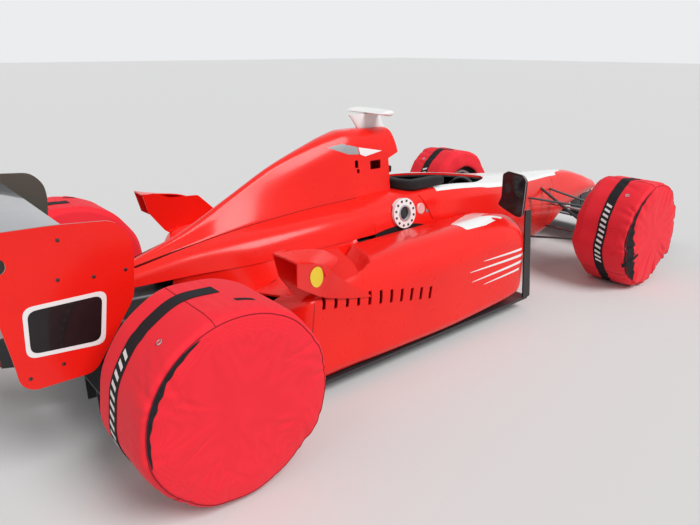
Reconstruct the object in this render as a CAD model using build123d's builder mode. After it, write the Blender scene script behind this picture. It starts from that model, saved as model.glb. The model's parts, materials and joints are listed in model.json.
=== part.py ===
"""Open wheel racing car, parked with its quilted tyre warmers on.

Millimetres. +X points forward, +Y to the driver's left, +Z up, and the origin is on the
ground, midway along the car. Every station below is measured from that origin.
"""

from build123d import *
from math import cos, radians, sin, tan
import os

os.makedirs("parts", exist_ok=True)

# Driving dimensions of the car
wheelbase = 2900.0
rear_axle_x = -1650.0
joint_gap = 0.3
running_gap = 5.0
pin_gap = 0.05

# Wheels, columns: name, axle x, track half, tyre radius, tyre width, warmer radius
front_axle_x = rear_axle_x + wheelbase
wheel_table = [
    ("rear", rear_axle_x, 785.0, 319.0, 338.0, 344.0),
    ("front", front_axle_x, 745.0, 303.0, 306.0, 332.0),
]
rear_axle_z = wheel_table[0][5]
front_axle_z = wheel_table[1][5]
rim_bead_radius = 167.0
rim_wall = 9.0
rim_flange = 12.0
rim_setback = 14.0
tyre_shoulder = 30.0
tyre_bulge = 7.0
warmer_end_wall = 18.0
warmer_mouth_radius = 205.0
warmer_shoulder = 40.0
hub_radius = 50.0
disc_radius = 120.0
disc_thickness = 24.0
disc_offset = 14.0
wheel_face_share = 0.32
rim_lip = 7.0
rim_drop = 56.0
rim_dish = 12.0
wheel_disc_thickness = 14.0
spoke_windows = 6
spoke_window = (46.0, 30.0)
spoke_circle = 98.0
nut_radius = 36.0
nut_height = 26.0

# Tub, columns: x, then half width and z of top, shoulder, belt and bottom, then corner
tub_stations = [
    (-470.0, 122.0, 690.0, 262.0, 640.0, 297.0, 430.0, 245.0, 76.0, 22.0),
    (-110.0, 222.0, 690.0, 266.0, 640.0, 297.0, 430.0, 245.0, 76.0, 22.0),
    (120.0, 236.0, 682.0, 264.0, 630.0, 296.0, 425.0, 243.0, 76.0, 22.0),
    (420.0, 226.0, 652.0, 254.0, 600.0, 288.0, 410.0, 230.0, 76.0, 22.0),
    (800.0, 178.0, 604.0, 206.0, 566.0, 238.0, 390.0, 192.0, 98.0, 20.0),
    (1150.0, 112.0, 578.0, 140.0, 544.0, 184.0, 372.0, 148.0, 138.0, 20.0),
    (1400.0, 68.0, 564.0, 96.0, 530.0, 146.0, 358.0, 112.0, 165.0, 18.0),
]
tub_wall = 24.0
tub_rear_x = tub_stations[0][0]
front_bulkhead_x = tub_stations[-1][0]
front_bulkhead_wall = 30.0
seat_bulkhead_x = -110.0

# Nose, same columns as the tub
nose_stations = [
    tub_stations[-1],
    (1680.0, 46.0, 536.0, 66.0, 506.0, 110.0, 390.0, 78.0, 272.0, 14.0),
    (1950.0, 32.0, 468.0, 48.0, 446.0, 84.0, 395.0, 56.0, 325.0, 10.0),
    (2150.0, 20.0, 397.0, 32.0, 388.0, 50.0, 370.0, 32.0, 346.0, 5.0),
]

# Cockpit opening in plan, columns: x, half width
cockpit_plan = [(-108.0, 172.0), (60.0, 198.0), (380.0, 190.0), (560.0, 122.0), (690.0, 34.0)]
cockpit_corner = 24.0
cockpit_cut_z = 500.0
dash_x = 700.0
dash_thickness = 12.0
dash_foot_z = 400.0

# Steering: wheel centre, column, rack and track rods
steering_wheel_x = 512.0
steering_wheel_z = 524.0
steering_wheel_radius = 112.0
steering_grip_radius = 11.0
steering_plate = 8.0
column_tilt = 14.0
column_length = 330.0
column_radius = 11.0
steer_arm = 100.0
rack_x = front_axle_x + steer_arm
rack_z = front_axle_z + 34.0
rack_bar_radius = 14.0
rack_bar_half = 90.0
rack_housing_radius = 23.0
rack_housing_half = 50.0
track_rod_radius = 8.0
track_pin_radius = 5.0
track_eye_radius = 17.0
track_eye_height = 14.0
steer_arm_width = 22.0
steer_arm_depth = 16.0

# Knuckles and uprights
kingpin_y = 660.0
kingpin_radius = 9.0
ball_half = 95.0
eye_radius = 19.0
eye_height = 18.0
knuckle_thickness = 40.0
knuckle_width = 84.0
spindle_radius = 20.0
rear_upright_y = 690.0
journal_radius = 30.0
journal_lead = 12.0
rear_upright_half = (46.0, 112.0)
caliper_angle = 62.0
caliper_wall = 12.0
caliper_foot = 66.0
shaft_radius = 15.0
shaft_joint_radius = 38.0
shaft_joint_length = 62.0
output_flange = 22.0

# Suspension arms
arm_chord = 30.0
arm_depth = 12.0
pushrod_radius = 9.0
front_arm_x = (1352.0, 1000.0)
front_arm_z = (470.0, 200.0)
rear_arm_x = (-1770.0, -1400.0)
rear_arm_z = (404.0, 236.0)
pushrod_foot_y = 598.0
rear_ball_half = 98.0
pushrod_top = (1210.0, 500.0)
rear_pushrod_top = (-1450.0, 402.0)

# Engine cover, columns: x, then half width and z of top, flank, crease, shoulder and hem
cover_stations = [
    (-1640.0, 13.0, 549.0, 22.0, 536.0, 42.0, 524.0, 72.0, 506.0, 84.0, 474.0),
    (-1380.0, 14.0, 642.0, 28.0, 612.0, 68.0, 594.0, 132.0, 566.0, 160.0, 480.0),
    (-1120.0, 15.0, 771.0, 36.0, 728.0, 90.0, 664.0, 205.0, 612.0, 240.0, 500.0),
    (-900.0, 19.0, 880.0, 52.0, 812.0, 100.0, 682.0, 236.0, 632.0, 268.0, 524.0),
    (-720.0, 28.0, 948.0, 68.0, 880.0, 106.0, 688.0, 252.0, 640.0, 281.0, 526.0),
    (-560.0, 46.0, 999.0, 88.0, 920.0, 117.0, 690.0, 260.0, 641.0, 281.0, 526.0),
    (-470.0, 58.0, 1015.0, 100.0, 934.0, 122.0, 690.0, 262.0, 640.0, 280.0, 526.0),
    (-165.0, 70.0, 1012.0, 112.0, 930.0, 128.0, 690.0, 262.0, 640.0, 280.0, 526.0),
]
cover_wall = 7.0
cover_corner = 11.0
hem_drop = 30.0
airbox_top_x = -196.0
airbox_lip = (-168.0, 884.0)
airbox_step_x = -236.0
airbox_foot_x = -228.0
airbox_front_wall = 12.0
airbox_mouth_z = (898.0, 990.0)
airbox_mouth_half = (92.0, 64.0)
airbox_mouth_depth = 120.0
airbox_window = (34.0, 27.0)
airbox_window_at = (-342.0, 852.0)

# Sidepod, columns: x, inner, outer, z bottom, z sill, z edge, z crown, z root
pod_inner = tub_stations[0][5] + joint_gap
pod_stations = [
    (305.0, pod_inner, 640.0, 118.0, 150.0, 452.0, 540.0, 516.0),
    (120.0, pod_inner, 660.0, 96.0, 132.0, 492.0, 582.0, 524.0),
    (-350.0, pod_inner, 664.0, 76.0, 116.0, 470.0, 572.0, 522.0),
    (-790.0, pod_inner, 658.0, 76.0, 116.0, 420.0, 556.0, 516.0),
]
pod_tail_stations = [
    (-790.0, pod_inner, 658.0, 76.0, 116.0, 400.0, 420.0, 392.0),
    (-1130.0, 262.0, 650.0, 76.0, 116.0, 478.0, 492.0, 410.0),
    (-1345.0, 172.0, 330.0, 98.0, 120.0, 262.0, 304.0, 340.0),
]
pod_wall = 8.0
pod_corner = 14.0
pod_crown_inset = 92.0
louvre_count = 11
louvre_pitch = 66.0
louvre_first_x = -1106.0
louvre_first_z = 446.0
louvre_slope = -0.185
louvre_size = (13.0, 58.0)
louvre_lean = 8.0
radiator_x = -120.0
radiator_depth = 56.0

# Flip-up in front of the rear wheel, side view of the fence, then plan of the ramp
fence_y = 650.0
fence_thickness = 6.0
fence_outline = [
    (-1219.0, 652.0), (-1094.0, 637.0), (-1040.0, 560.0), (-985.0, 530.0),
    (-840.0, 410.0), (-1128.0, 470.0), (-1224.0, 564.0),
]
ramp_plan = [(-850.0, 448.0), (-1080.0, 652.0), (-1216.0, 652.0), (-1196.0, 448.0)]
ramp_front_z = 602.0
ramp_slope = 6.5
ramp_thickness = 6.0
inner_fence_y = 446.0
inner_fence_outline = [(-784.0, 548.0), (-850.0, 604.0), (-1196.0, 644.0), (-1196.0, 600.0),
                       (-1120.0, 430.0), (-784.0, 396.0)]

# Floor, plank and diffuser
floor_bottom = 62.0
floor_top = 76.0
floor_plan = [(-1180.0, 560.0), (-1120.0, 636.0), (150.0, 640.0), (390.0, 640.0), (402.0, 250.0), (520.0, 200.0)]
plank_bottom = 34.0
plank_half_width = 150.0
plank_front_x = 500.0
diffuser_line = [(-1180.0, 62.0), (-1380.0, 72.0), (-1900.0, 200.0)]
diffuser_half = (560.0, 470.0)
diffuser_skin = 8.0
strake_thickness = 6.0
strake_y = (165.0, 300.0, 458.0)
strake_foot_z = 60.0

# Engine, gearbox and rear crash structure, columns: x, half width, z bottom, z top
engine_length = 380.0
engine_half = 240.0
engine_top = 500.0
plenum_half = 92.0
plenum_top = 640.0
gearbox_stations = [
    (-850.0, 178.0, 90.0, 440.0),
    (-1250.0, 118.0, 120.0, 425.0),
    (-1650.0, 104.0, 178.0, 446.0),
    (-1900.0, 86.0, 214.0, 410.0),
]
tail_stations = [(-1900.0, 80.0, 226.0, 396.0), (-2150.0, 46.0, 268.0, 352.0)]
casing_corner = 16.0
rain_light_size = (26.0, 84.0, 70.0)

# Rear wing, columns of the elements: nose x, nose z, chord, thickness, angle
rear_elements = [(-1930.0, 852.0, 212.0, 24.0, 5.0), (-2128.0, 886.0, 112.0, 12.0, 11.0)]
beam_element = (-1972.0, 432.0, 165.0, 16.0, 8.0)
wing_tail = 2.5
endplate_y = 500.0
endplate_thickness = 6.0
endplate_outline = [
    (-1830.0, 908.0), (-1772.0, 838.0), (-1768.0, 790.0), (-1783.0, 620.0), (-1943.0, 385.0),
    (-2136.0, 388.0), (-2168.0, 418.0), (-2176.0, 505.0), (-2194.0, 640.0), (-2210.0, 772.0),
    (-2146.0, 790.0), (-2146.0, 830.0), (-2226.0, 850.0), (-2250.0, 876.0), (-2250.0, 908.0),
]
endplate_corner = 9.0
beam_pylon_y = 36.0
beam_pylon = [(-1985.0, 360.0), (-1985.0, 425.0), (-2105.0, 446.0), (-2090.0, 330.0)]

# Front wing, same columns of elements
front_elements = [
    (2225.0, 112.0, 250.0, 20.0, 4.0),
    (1985.0, 142.0, 150.0, 12.0, 14.0),
    (1850.0, 188.0, 120.0, 9.0, 26.0),
]
front_wing_half = 636.0
front_plate_outline = [
    (2250.0, 70.0), (2250.0, 150.0), (2190.0, 240.0), (1980.0, 290.0), (1720.0, 290.0), (1700.0, 70.0),
]
front_plate_corner = 14.0
pylon_y = 40.0
pylon_thickness = 7.0
pylon_outline = [(2120.0, 118.0), (1985.0, 124.0), (1930.0, 350.0), (2080.0, 358.0)]

# Small outside pieces
headrest_half = (236.0, 178.0)
headrest_x = (-222.0, 96.0)
headrest_z = (tub_stations[0][2] + joint_gap, 744.0)
filler_x = -270.0
filler_z = 600.0
filler_radius = 78.0
filler_height = 14.0
filler_bore = 34.0
filler_sleeve = 6.0
filler_pocket = 40.0
camera_post = [(-258.0, 180.0, 1009.0), (-318.0, 200.0, 1082.0)]
camera_post_width = 26.0
camera_bar_at = (-262.0, 1094.0)
camera_bar_section = (104.0, 42.0)
camera_bar_half = 150.0
camera_tip = 44.0
mirror_x = 236.0
mirror_depth = 46.0
mirror_face = [(440.0, 664.0), (444.0, 766.0), (560.0, 756.0), (575.0, 742.0), (568.0, 664.0)]
mirror_stem = [(442.0, 670.0), (566.0, 670.0)]
mirror_stem_foot = (552.0, 470.0)
mirror_stem_x = 252.0
mirror_stem_thickness = 12.0
board_y = 630.0
board_thickness = 7.0
board_outline = [(312.0, 120.0), (312.0, floor_top + joint_gap), (392.0, floor_top + joint_gap), (384.0, 330.0), (372.0, 598.0),
                 (330.0, 590.0), (312.0, 440.0)]
seat_half = 186.0
seat_shell = 11.0
seat_floor_z = tub_stations[0][8] + tub_wall + joint_gap
seat_front_x = 410.0
seat_knee = (190.0, 205.0)
seat_back = (-66.0, 600.0)
seat_wing_x = -6.0
seat_heel_x = 92.0


def outline(plane, points, corner=0.0):
    """Return a closed polygon on a plane, its corners rounded by one radius."""
    with BuildSketch(plane) as face:
        with BuildLine():
            Polyline(*points, close=True)
        make_face()
        if corner:
            fillet(face.vertices(), corner)
    return face.sketch


def mirrored(half):
    """Return a half profile, given from top to bottom at +Y, closed by its mirror image."""
    return half + [(-y, z) for y, z in reversed(half)]


def station_at(stations, x):
    """Return the row of a table of stations at x, between its two nearest rows."""
    rows = sorted(stations)
    for low, high in zip(rows, rows[1:]):
        if low[0] <= x <= high[0]:
            share = (x - low[0]) / (high[0] - low[0])
            return tuple(a + (b - a) * share for a, b in zip(low, high))
    raise ValueError("x is outside the table")


def tub_half_at(x, z):
    """Return the tub's half width at a station and height, between its corners."""
    row = station_at(tub_stations, x)
    corners = [(row[i + 1], row[i]) for i in (1, 3, 5, 7)]
    for (high, half_high), (low, half_low) in zip(corners, corners[1:]):
        if low <= z <= high:
            return half_low + (half_high - half_low) * (z - low) / (high - low)
    raise ValueError("z is outside the tub")


def tub_section(row, wall=0.0):
    """Return a cross-section of the tub or nose, its outline pulled in by a wall."""
    x, top, z_top, shoulder, z_shoulder, belt, z_belt, bottom, z_bottom, corner = row
    half = [
        (top - wall * 0.7, z_top - wall),
        (shoulder - wall, z_shoulder - wall * 0.5),
        (belt - wall, z_belt),
        (bottom - wall, z_bottom + wall),
    ]
    return outline(Plane.YZ.offset(x), mirrored(half), corner)


def cover_section(row, wall=0.0, drop=0.0):
    """Return a cross-section of the engine cover, pulled in by a wall, its hem let down."""
    x, top, z_top, flank, z_flank, crease, z_crease, shoulder, z_shoulder, hem, z_hem = row
    half = [
        (top - wall * 0.6, z_top - wall),
        (flank - wall, z_flank - wall * 0.5),
        (crease - wall, z_crease - wall),
        (shoulder - wall, z_shoulder - wall),
        (hem - wall, z_hem - drop),
    ]
    return outline(Plane.YZ.offset(x), mirrored(half), min(cover_corner, (top - wall * 0.6) * 0.8))


def pod_section(row, wall=0.0):
    """Return a cross-section of the right sidepod, pulled in by a wall all round."""
    x, inner, outer, z_bottom, z_sill, z_edge, z_crown, z_root = row
    crown_y = outer - min(pod_crown_inset, (outer - inner) * 0.45)
    points = [
        (-(inner + wall), z_bottom + wall),
        (-(outer - (z_sill - z_bottom) - wall * 0.5), z_bottom + wall),
        (-(outer - wall), z_sill + wall * 0.5),
        (-(outer - wall), z_edge - wall * 0.5),
        (-(crown_y - wall * 0.2), z_crown - wall),
        (-(inner + wall), z_root - wall),
    ]
    return outline(Plane.YZ.offset(x), points, pod_corner)


def pod_top_at(x, y):
    """Return the height of the pod's top skin at a station and distance out."""
    _, inner, outer, _, _, _, z_crown, z_root = station_at(pod_stations, x)
    crown_y = outer - min(pod_crown_inset, (outer - inner) * 0.45)
    return z_root + (z_crown - z_root) * min(1.0, (y - inner) / (crown_y - inner))


def shell(sections, mode=Mode.ADD):
    """Loft each pair of neighbouring sections straight, one after the other."""
    for first, second in zip(sections, sections[1:]):
        loft([first, second], ruled=True, mode=mode)


def casing_section(row):
    """Return a rounded rectangular cross-section of a casing."""
    x, half, z_bottom, z_top = row
    points = [(-half, z_bottom), (half, z_bottom), (half, z_top), (-half, z_top)]
    return outline(Plane.YZ.offset(x), points, casing_corner)


def rod(start, end, radius, mode=Mode.ADD):
    """Add a straight round rod to the part being built, or cut one away."""
    run = Vector(end) - Vector(start)
    with BuildSketch(Plane(origin=start, z_dir=run)) as section:
        Circle(radius)
    extrude(section.sketch, amount=run.length, dir=run.normalized(), mode=mode)


def blade(start, end):
    """Add a suspension arm: an ellipse whose long axis lies fore and aft."""
    run = Vector(end) - Vector(start)
    chord_dir = run.cross(Vector(1, 0, 0)).cross(run)
    with BuildSketch(Plane(origin=start, x_dir=chord_dir, z_dir=run)) as section:
        Ellipse(arm_chord / 2, arm_depth / 2)
    extrude(section.sketch, amount=run.length, dir=run.normalized())


def wing_section(plane, element, stretch=1.0):
    """Return an upside-down wing profile of two arcs, its tail turned up by an angle."""
    nose_x, nose_z, chord, thickness, angle = element
    turn = radians(180 - angle)
    along = Vector(cos(turn), sin(turn))
    across = Vector(-along.Y, along.X)
    start = Vector(nose_x, nose_z)
    tail = start + along * chord
    tail_top = tail - across * wing_tail
    with BuildSketch(plane) as face:
        with BuildLine():
            ThreePointArc(start, start + along * chord * 0.45 - across * thickness * 0.3, tail_top)
            Line(tail_top, tail)
            ThreePointArc(tail, start + along * chord * 0.38 + across * thickness * 0.7, start)
        make_face()
    return face.sketch


def plate(points, y, thickness, corner=0.0, mode=Mode.ADD):
    """Add an upright plate drawn in side view, from y outward by its thickness."""
    side = 1 if y > 0 else -1
    face = outline(Plane.XZ.offset(-y), points, corner)
    extrude(face, amount=thickness, dir=(0, side, 0), mode=mode)


def ring(profile, side, axle_x, axle_z):
    """Add a ring turned about an axle from a closed profile of distance out and radius."""
    points = [(side * y, axle_z + radius) for y, radius in profile]
    face = outline(Plane.YZ.offset(axle_x), points)
    revolve(face, axis=Axis((axle_x, 0, axle_z), (0, 1, 0)))


def caliper(disc_in, side, axle_x, axle_z, facing):
    """Add a caliper that straddles the brake disc on the side of the axle that it faces."""
    inside, outside = disc_in - running_gap, disc_in + disc_thickness + running_gap
    over = disc_radius + running_gap
    profile = [(inside - caliper_wall, caliper_foot), (inside - caliper_wall, over + caliper_wall),
               (outside + caliper_wall, over + caliper_wall), (outside + caliper_wall, caliper_foot),
               (outside, caliper_foot), (outside, over), (inside, over), (inside, caliper_foot)]
    half = radians(caliper_angle / 2)
    out = Vector(facing * cos(half), 0, facing * sin(half))
    plane = Plane(origin=(axle_x, 0, axle_z), x_dir=(0, 1, 0), z_dir=(out.Z, 0, -out.X))
    face = outline(plane, [(side * y, radius) for y, radius in profile])
    revolve(face, axis=Axis((axle_x, 0, axle_z), (0, 1, 0)), revolution_arc=caliper_angle)


def filler_seat(side):
    """Return the filler's centre on the tub's flank and the flank's outward normal there."""
    low, high = tub_half_at(filler_x, filler_z - 20), tub_half_at(filler_x, filler_z + 20)
    centre = Vector(filler_x, side * tub_half_at(filler_x, filler_z), filler_z)
    return centre, Vector(0, side * 40, low - high).normalized()


def save(part, name):
    """Label a finished piece and write it."""
    part.label = name
    export_step(part, f"parts/{name}.step")
    print(name, len(part.solids()), round(part.volume / 1e3), part.is_valid)


# Tub: the dash plate is the slice of the cavity that it closes
cavity_rows = [station_at(tub_stations, seat_bulkhead_x)]
cavity_rows += [row for row in tub_stations if seat_bulkhead_x < row[0] < front_bulkhead_x]
cavity_rows += [station_at(tub_stations, front_bulkhead_x - front_bulkhead_wall)]
with BuildPart() as tub_cavity:
    shell([tub_section(row, tub_wall) for row in cavity_rows])

column_dir = Vector(cos(radians(column_tilt)), 0, -sin(radians(column_tilt)))
wheel_centre = Vector(steering_wheel_x, 0, steering_wheel_z)
column_end = wheel_centre + column_dir * column_length
with BuildPart() as dash:
    add(tub_cavity.part)
    dash_box = [(dash_x, dash_foot_z), (dash_x + dash_thickness, dash_foot_z),
                (dash_x + dash_thickness, 800.0), (dash_x, 800.0)]
    extrude(outline(Plane.XZ, dash_box), amount=400, both=True, mode=Mode.INTERSECT)

with BuildPart() as monocoque:
    shell([tub_section(row) for row in tub_stations])
    add(tub_cavity.part, mode=Mode.SUBTRACT)
    add(dash.part)
    opening = cockpit_plan + [(x, -half) for x, half in reversed(cockpit_plan)]
    extrude(outline(Plane.XY.offset(cockpit_cut_z), opening, cockpit_corner), amount=300,
            mode=Mode.SUBTRACT)
    rod((rack_x, -rack_housing_half, rack_z), (rack_x, rack_housing_half, rack_z), rack_housing_radius)
    rod((rack_x, -rack_housing_half, rack_z), (rack_x, rack_housing_half, rack_z),
        rack_bar_radius + pin_gap, Mode.SUBTRACT)
    rod((rack_x, -kingpin_y, rack_z), (rack_x, -rack_housing_half, rack_z),
        track_rod_radius + running_gap, Mode.SUBTRACT)
    rod((rack_x, rack_housing_half, rack_z), (rack_x, kingpin_y, rack_z),
        track_rod_radius + running_gap, Mode.SUBTRACT)
    rod(wheel_centre, column_end, column_radius + pin_gap, Mode.SUBTRACT)
    for side in (-1, 1):
        centre, normal = filler_seat(side)
        rod(centre - normal * filler_pocket, centre + normal * filler_height,
            filler_bore + filler_sleeve, Mode.SUBTRACT)
save(monocoque.part, "monocoque")

# Nose cone, closed
with BuildPart() as nose_cone:
    shell([tub_section(row) for row in nose_stations])
save(nose_cone.part, "nose_cone")

# Front wing: main plane and two flaps between end plates, hung from the nose by pylons
with BuildPart() as front_wing:
    for element in front_elements:
        extrude(wing_section(Plane.XZ, element), amount=front_wing_half, both=True)
    for side in (-1, 1):
        plate(front_plate_outline, side * front_wing_half, endplate_thickness, front_plate_corner)
        plate(pylon_outline, side * pylon_y, pylon_thickness)
    add(nose_cone.part, mode=Mode.SUBTRACT)
save(front_wing.part, "front_wing")

# Engine cover: a thin hood, its front cut back below the airbox mouth
with BuildPart() as engine_cover:
    shell([cover_section(row) for row in cover_stations])
    front_cut = [(airbox_top_x, 1100.0), airbox_lip, (airbox_step_x, airbox_lip[1] - 10),
                 (airbox_foot_x, tub_stations[0][2] + joint_gap), (tub_rear_x, tub_stations[0][2] + joint_gap),
                 (tub_rear_x, 400.0), (0.0, 400.0), (0.0, 1100.0)]
    extrude(outline(Plane.XZ, front_cut), amount=400, both=True, mode=Mode.SUBTRACT)
    hollow_rows = [row for row in cover_stations if row[0] < airbox_step_x]
    hollow_rows += [station_at(cover_stations, airbox_step_x - airbox_front_wall)]
    shell([cover_section(row, cover_wall, hem_drop) for row in hollow_rows], Mode.SUBTRACT)
    mouth = mirrored([(airbox_mouth_half[1], airbox_mouth_z[1]), (airbox_mouth_half[0], airbox_mouth_z[0])])
    extrude(outline(Plane.YZ.offset(airbox_step_x - 2 * airbox_front_wall), mouth, 14),
            amount=airbox_mouth_depth, mode=Mode.SUBTRACT)
    with BuildSketch(Plane.XZ) as window:
        with Locations(airbox_window_at):
            Rectangle(*airbox_window)
    extrude(window.sketch, amount=200, both=True, mode=Mode.SUBTRACT)
save(engine_cover.part, "engine_cover")

# Sidepods: ducts open at the inlet and at the hot air exit, with louvres in the flank
with BuildPart() as right_pod:
    for stations in (pod_stations, pod_tail_stations):
        shell([pod_section(row) for row in stations])
    for stations in (pod_stations, pod_tail_stations):
        shell([pod_section(row, pod_wall) for row in stations], Mode.SUBTRACT)
    for i in range(louvre_count):
        x = louvre_first_x + i * louvre_pitch
        z = louvre_first_z + louvre_slope * (x - louvre_first_x)
        width, height = louvre_size
        slot = [(x, z - height / 2), (x + width, z - height / 2),
                (x + width + louvre_lean, z + height / 2), (x + louvre_lean, z + height / 2)]
        extrude(outline(Plane.XZ.offset(fence_y - 60), slot), amount=100, mode=Mode.SUBTRACT)
save(right_pod.part, "sidepod_right")
with BuildPart() as left_pod:
    mirror(right_pod.part, about=Plane.XZ)
save(left_pod.part, "sidepod_left")

# Radiators: one core across each duct
with BuildPart() as radiators:
    core_row = station_at(pod_stations, radiator_x)
    core = extrude(pod_section(core_row, pod_wall + joint_gap), amount=radiator_depth, dir=(1, 0, 0))
    add(right_pod.part, mode=Mode.SUBTRACT)
    mirror(radiators.part, about=Plane.XZ)
save(radiators.part, "radiators")

# Flip-ups: outer fence, ramp and inner fence ahead of each rear wheel
with BuildPart() as flip_ups:
    plate(fence_outline, -fence_y, fence_thickness, 8)
    plate(inner_fence_outline, -inner_fence_y, fence_thickness)
    ramp = [(x, -y) for x, y in ramp_plan]
    ramp_plane = Plane(origin=(ramp_plan[0][0], 0, ramp_front_z), x_dir=(cos(radians(ramp_slope)), 0,
                       -sin(radians(ramp_slope))), z_dir=(sin(radians(ramp_slope)), 0, cos(radians(ramp_slope))))
    stretch = 1 / cos(radians(ramp_slope))
    local = [((x - ramp_plan[0][0]) * stretch, y) for x, y in ramp]
    extrude(outline(ramp_plane, local), amount=ramp_thickness)
    add(right_pod.part, mode=Mode.SUBTRACT)
    mirror(flip_ups.part, about=Plane.XZ)
save(flip_ups.part, "flip_ups")

# Floor with its plank, and the diffuser behind it
with BuildPart() as floor:
    plan = floor_plan + [(x, -y) for x, y in reversed(floor_plan)]
    extrude(outline(Plane.XY.offset(floor_bottom), plan, 12), amount=floor_top - floor_bottom)
    with BuildSketch(Plane.XY.offset(plank_bottom)) as plank:
        with Locations(((plank_front_x + floor_plan[0][0]) / 2, 0)):
            RectangleRounded(plank_front_x - floor_plan[0][0], 2 * plank_half_width, 60)
    extrude(plank.sketch, amount=floor_bottom - plank_bottom)
save(floor.part, "floor")

with BuildPart() as diffuser:
    skin = diffuser_line + [(x, z + diffuser_skin) for x, z in reversed(diffuser_line)]
    extrude(outline(Plane.XZ, skin), amount=diffuser_half[0], both=True)
    (x_front, _), (x_mid, _), (x_rear, _) = diffuser_line
    half_front, half_rear = diffuser_half
    trim = [(x_front, half_front), (x_mid, half_rear), (x_rear, half_rear),
            (x_rear, -half_rear), (x_mid, -half_rear), (x_front, -half_front)]
    extrude(outline(Plane.XY, trim), amount=400, mode=Mode.INTERSECT)
    strake = diffuser_line + [(x_rear, strake_foot_z + 40), (x_mid, strake_foot_z)]
    for y in strake_y:
        for side in (-1, 1):
            plate(strake, side * y, strake_thickness)
save(diffuser.part, "diffuser")

# Engine, gearbox and the crash structure behind it
with BuildPart() as engine:
    block = [(-engine_half, floor_top), (engine_half, floor_top), (engine_half, engine_top),
             (plenum_half, engine_top), (plenum_half, plenum_top), (-plenum_half, plenum_top),
             (-plenum_half, engine_top), (-engine_half, engine_top)]
    extrude(outline(Plane.YZ.offset(gearbox_stations[0][0]), block, 14), amount=engine_length)
save(engine.part, "engine")

with BuildPart() as gearbox:
    loft([casing_section(row) for row in gearbox_stations], ruled=True)
    rod((rear_axle_x, -gearbox_stations[2][1] - output_flange, rear_axle_z),
        (rear_axle_x, gearbox_stations[2][1] + output_flange, rear_axle_z), shaft_joint_radius - 4)
save(gearbox.part, "gearbox")

with BuildPart() as crash_structure:
    loft([casing_section(row) for row in tail_stations], ruled=True)
    for side in (-1, 1):
        plate(beam_pylon, side * beam_pylon_y, endplate_thickness)
save(crash_structure.part, "rear_crash_structure")

with BuildPart() as rain_light:
    depth, width, height = rain_light_size
    x, half, z_bottom, z_top = tail_stations[-1]
    with BuildSketch(Plane.YZ.offset(x)) as lens:
        with Locations((0, (z_bottom + z_top) / 2)):
            RectangleRounded(width, height, 10)
    extrude(lens.sketch, amount=-depth)
save(rain_light.part, "rain_light")

# Rear wing: two elements and a lower beam between shaped end plates
with BuildPart() as rear_wing:
    for element in rear_elements + [beam_element]:
        extrude(wing_section(Plane.XZ, element), amount=endplate_y - endplate_thickness / 2, both=True)
    add(crash_structure.part, mode=Mode.SUBTRACT)
save(rear_wing.part, "rear_wing")

for side, name in ((-1, "right"), (1, "left")):
    with BuildPart() as end_plate:
        plate(endplate_outline, side * (endplate_y - endplate_thickness / 2), endplate_thickness, endplate_corner)
    save(end_plate.part, f"rear_endplate_{name}")

# Front suspension: two wishbones and a pushrod a side, with eyes round the kingpin's pins
with BuildPart() as front_suspension:
    for height, inner_z in ((ball_half, front_arm_z[0]), (-ball_half, front_arm_z[1])):
        eye = Vector(front_axle_x, -kingpin_y, front_axle_z + height)
        rod(eye - Vector(0, 0, eye_height / 2), eye + Vector(0, 0, eye_height / 2), eye_radius)
        for inner_x in front_arm_x:
            blade(eye, (inner_x, -(tub_half_at(inner_x, inner_z) - tub_wall / 3), inner_z))
        if height < 0:
            rod((front_axle_x, -pushrod_foot_y, eye.Z),
                (pushrod_top[0], -(tub_half_at(*pushrod_top) - tub_wall / 3), pushrod_top[1]), pushrod_radius)
        rod(eye - Vector(0, 0, eye_height), eye + Vector(0, 0, eye_height),
            kingpin_radius + pin_gap, Mode.SUBTRACT)
    add(monocoque.part, mode=Mode.SUBTRACT)
    mirror(front_suspension.part, about=Plane.XZ)
save(front_suspension.part, "front_suspension")

# Steering rack: bar in its housing, a track rod each side and the open eyes round the arms' pins
with BuildPart() as steering_rack:
    rod((rack_x, -rack_bar_half, rack_z), (rack_x, rack_bar_half, rack_z), rack_bar_radius)
    for side in (-1, 1):
        rod((rack_x, side * rack_bar_half, rack_z),
            (rack_x, side * (kingpin_y - track_pin_radius - running_gap - 1), rack_z), track_rod_radius)
        centre = Vector(rack_x, side * kingpin_y, rack_z)
        half = Vector(0, 0, track_eye_height / 2)
        rod(centre - half, centre + half, track_eye_radius)
        rod(centre - half * 2, centre + half * 2, track_pin_radius + running_gap, Mode.SUBTRACT)
save(steering_rack.part, "steering_rack")

# Steering wheel with its column, turned about the column's axis
with BuildPart() as steering_wheel:
    wheel_plane = Plane(origin=wheel_centre, x_dir=(0, 1, 0), z_dir=column_dir)
    with BuildSketch(Plane(origin=wheel_centre, x_dir=(0, 1, 0), z_dir=wheel_plane.y_dir)) as grip:
        with Locations((steering_wheel_radius, 0)):
            Circle(steering_grip_radius)
    revolve(grip.sketch, axis=Axis(wheel_centre, column_dir))
    with BuildSketch(wheel_plane) as hub_plate:
        Rectangle(2 * steering_wheel_radius, 44)
        with Locations((0, -steering_wheel_radius / 2)):
            Rectangle(34, steering_wheel_radius)
        Circle(46)
    extrude(hub_plate.sketch, amount=steering_plate / 2, both=True)
    rod(wheel_centre, column_end, column_radius)
save(steering_wheel.part, "steering_wheel")

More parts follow.
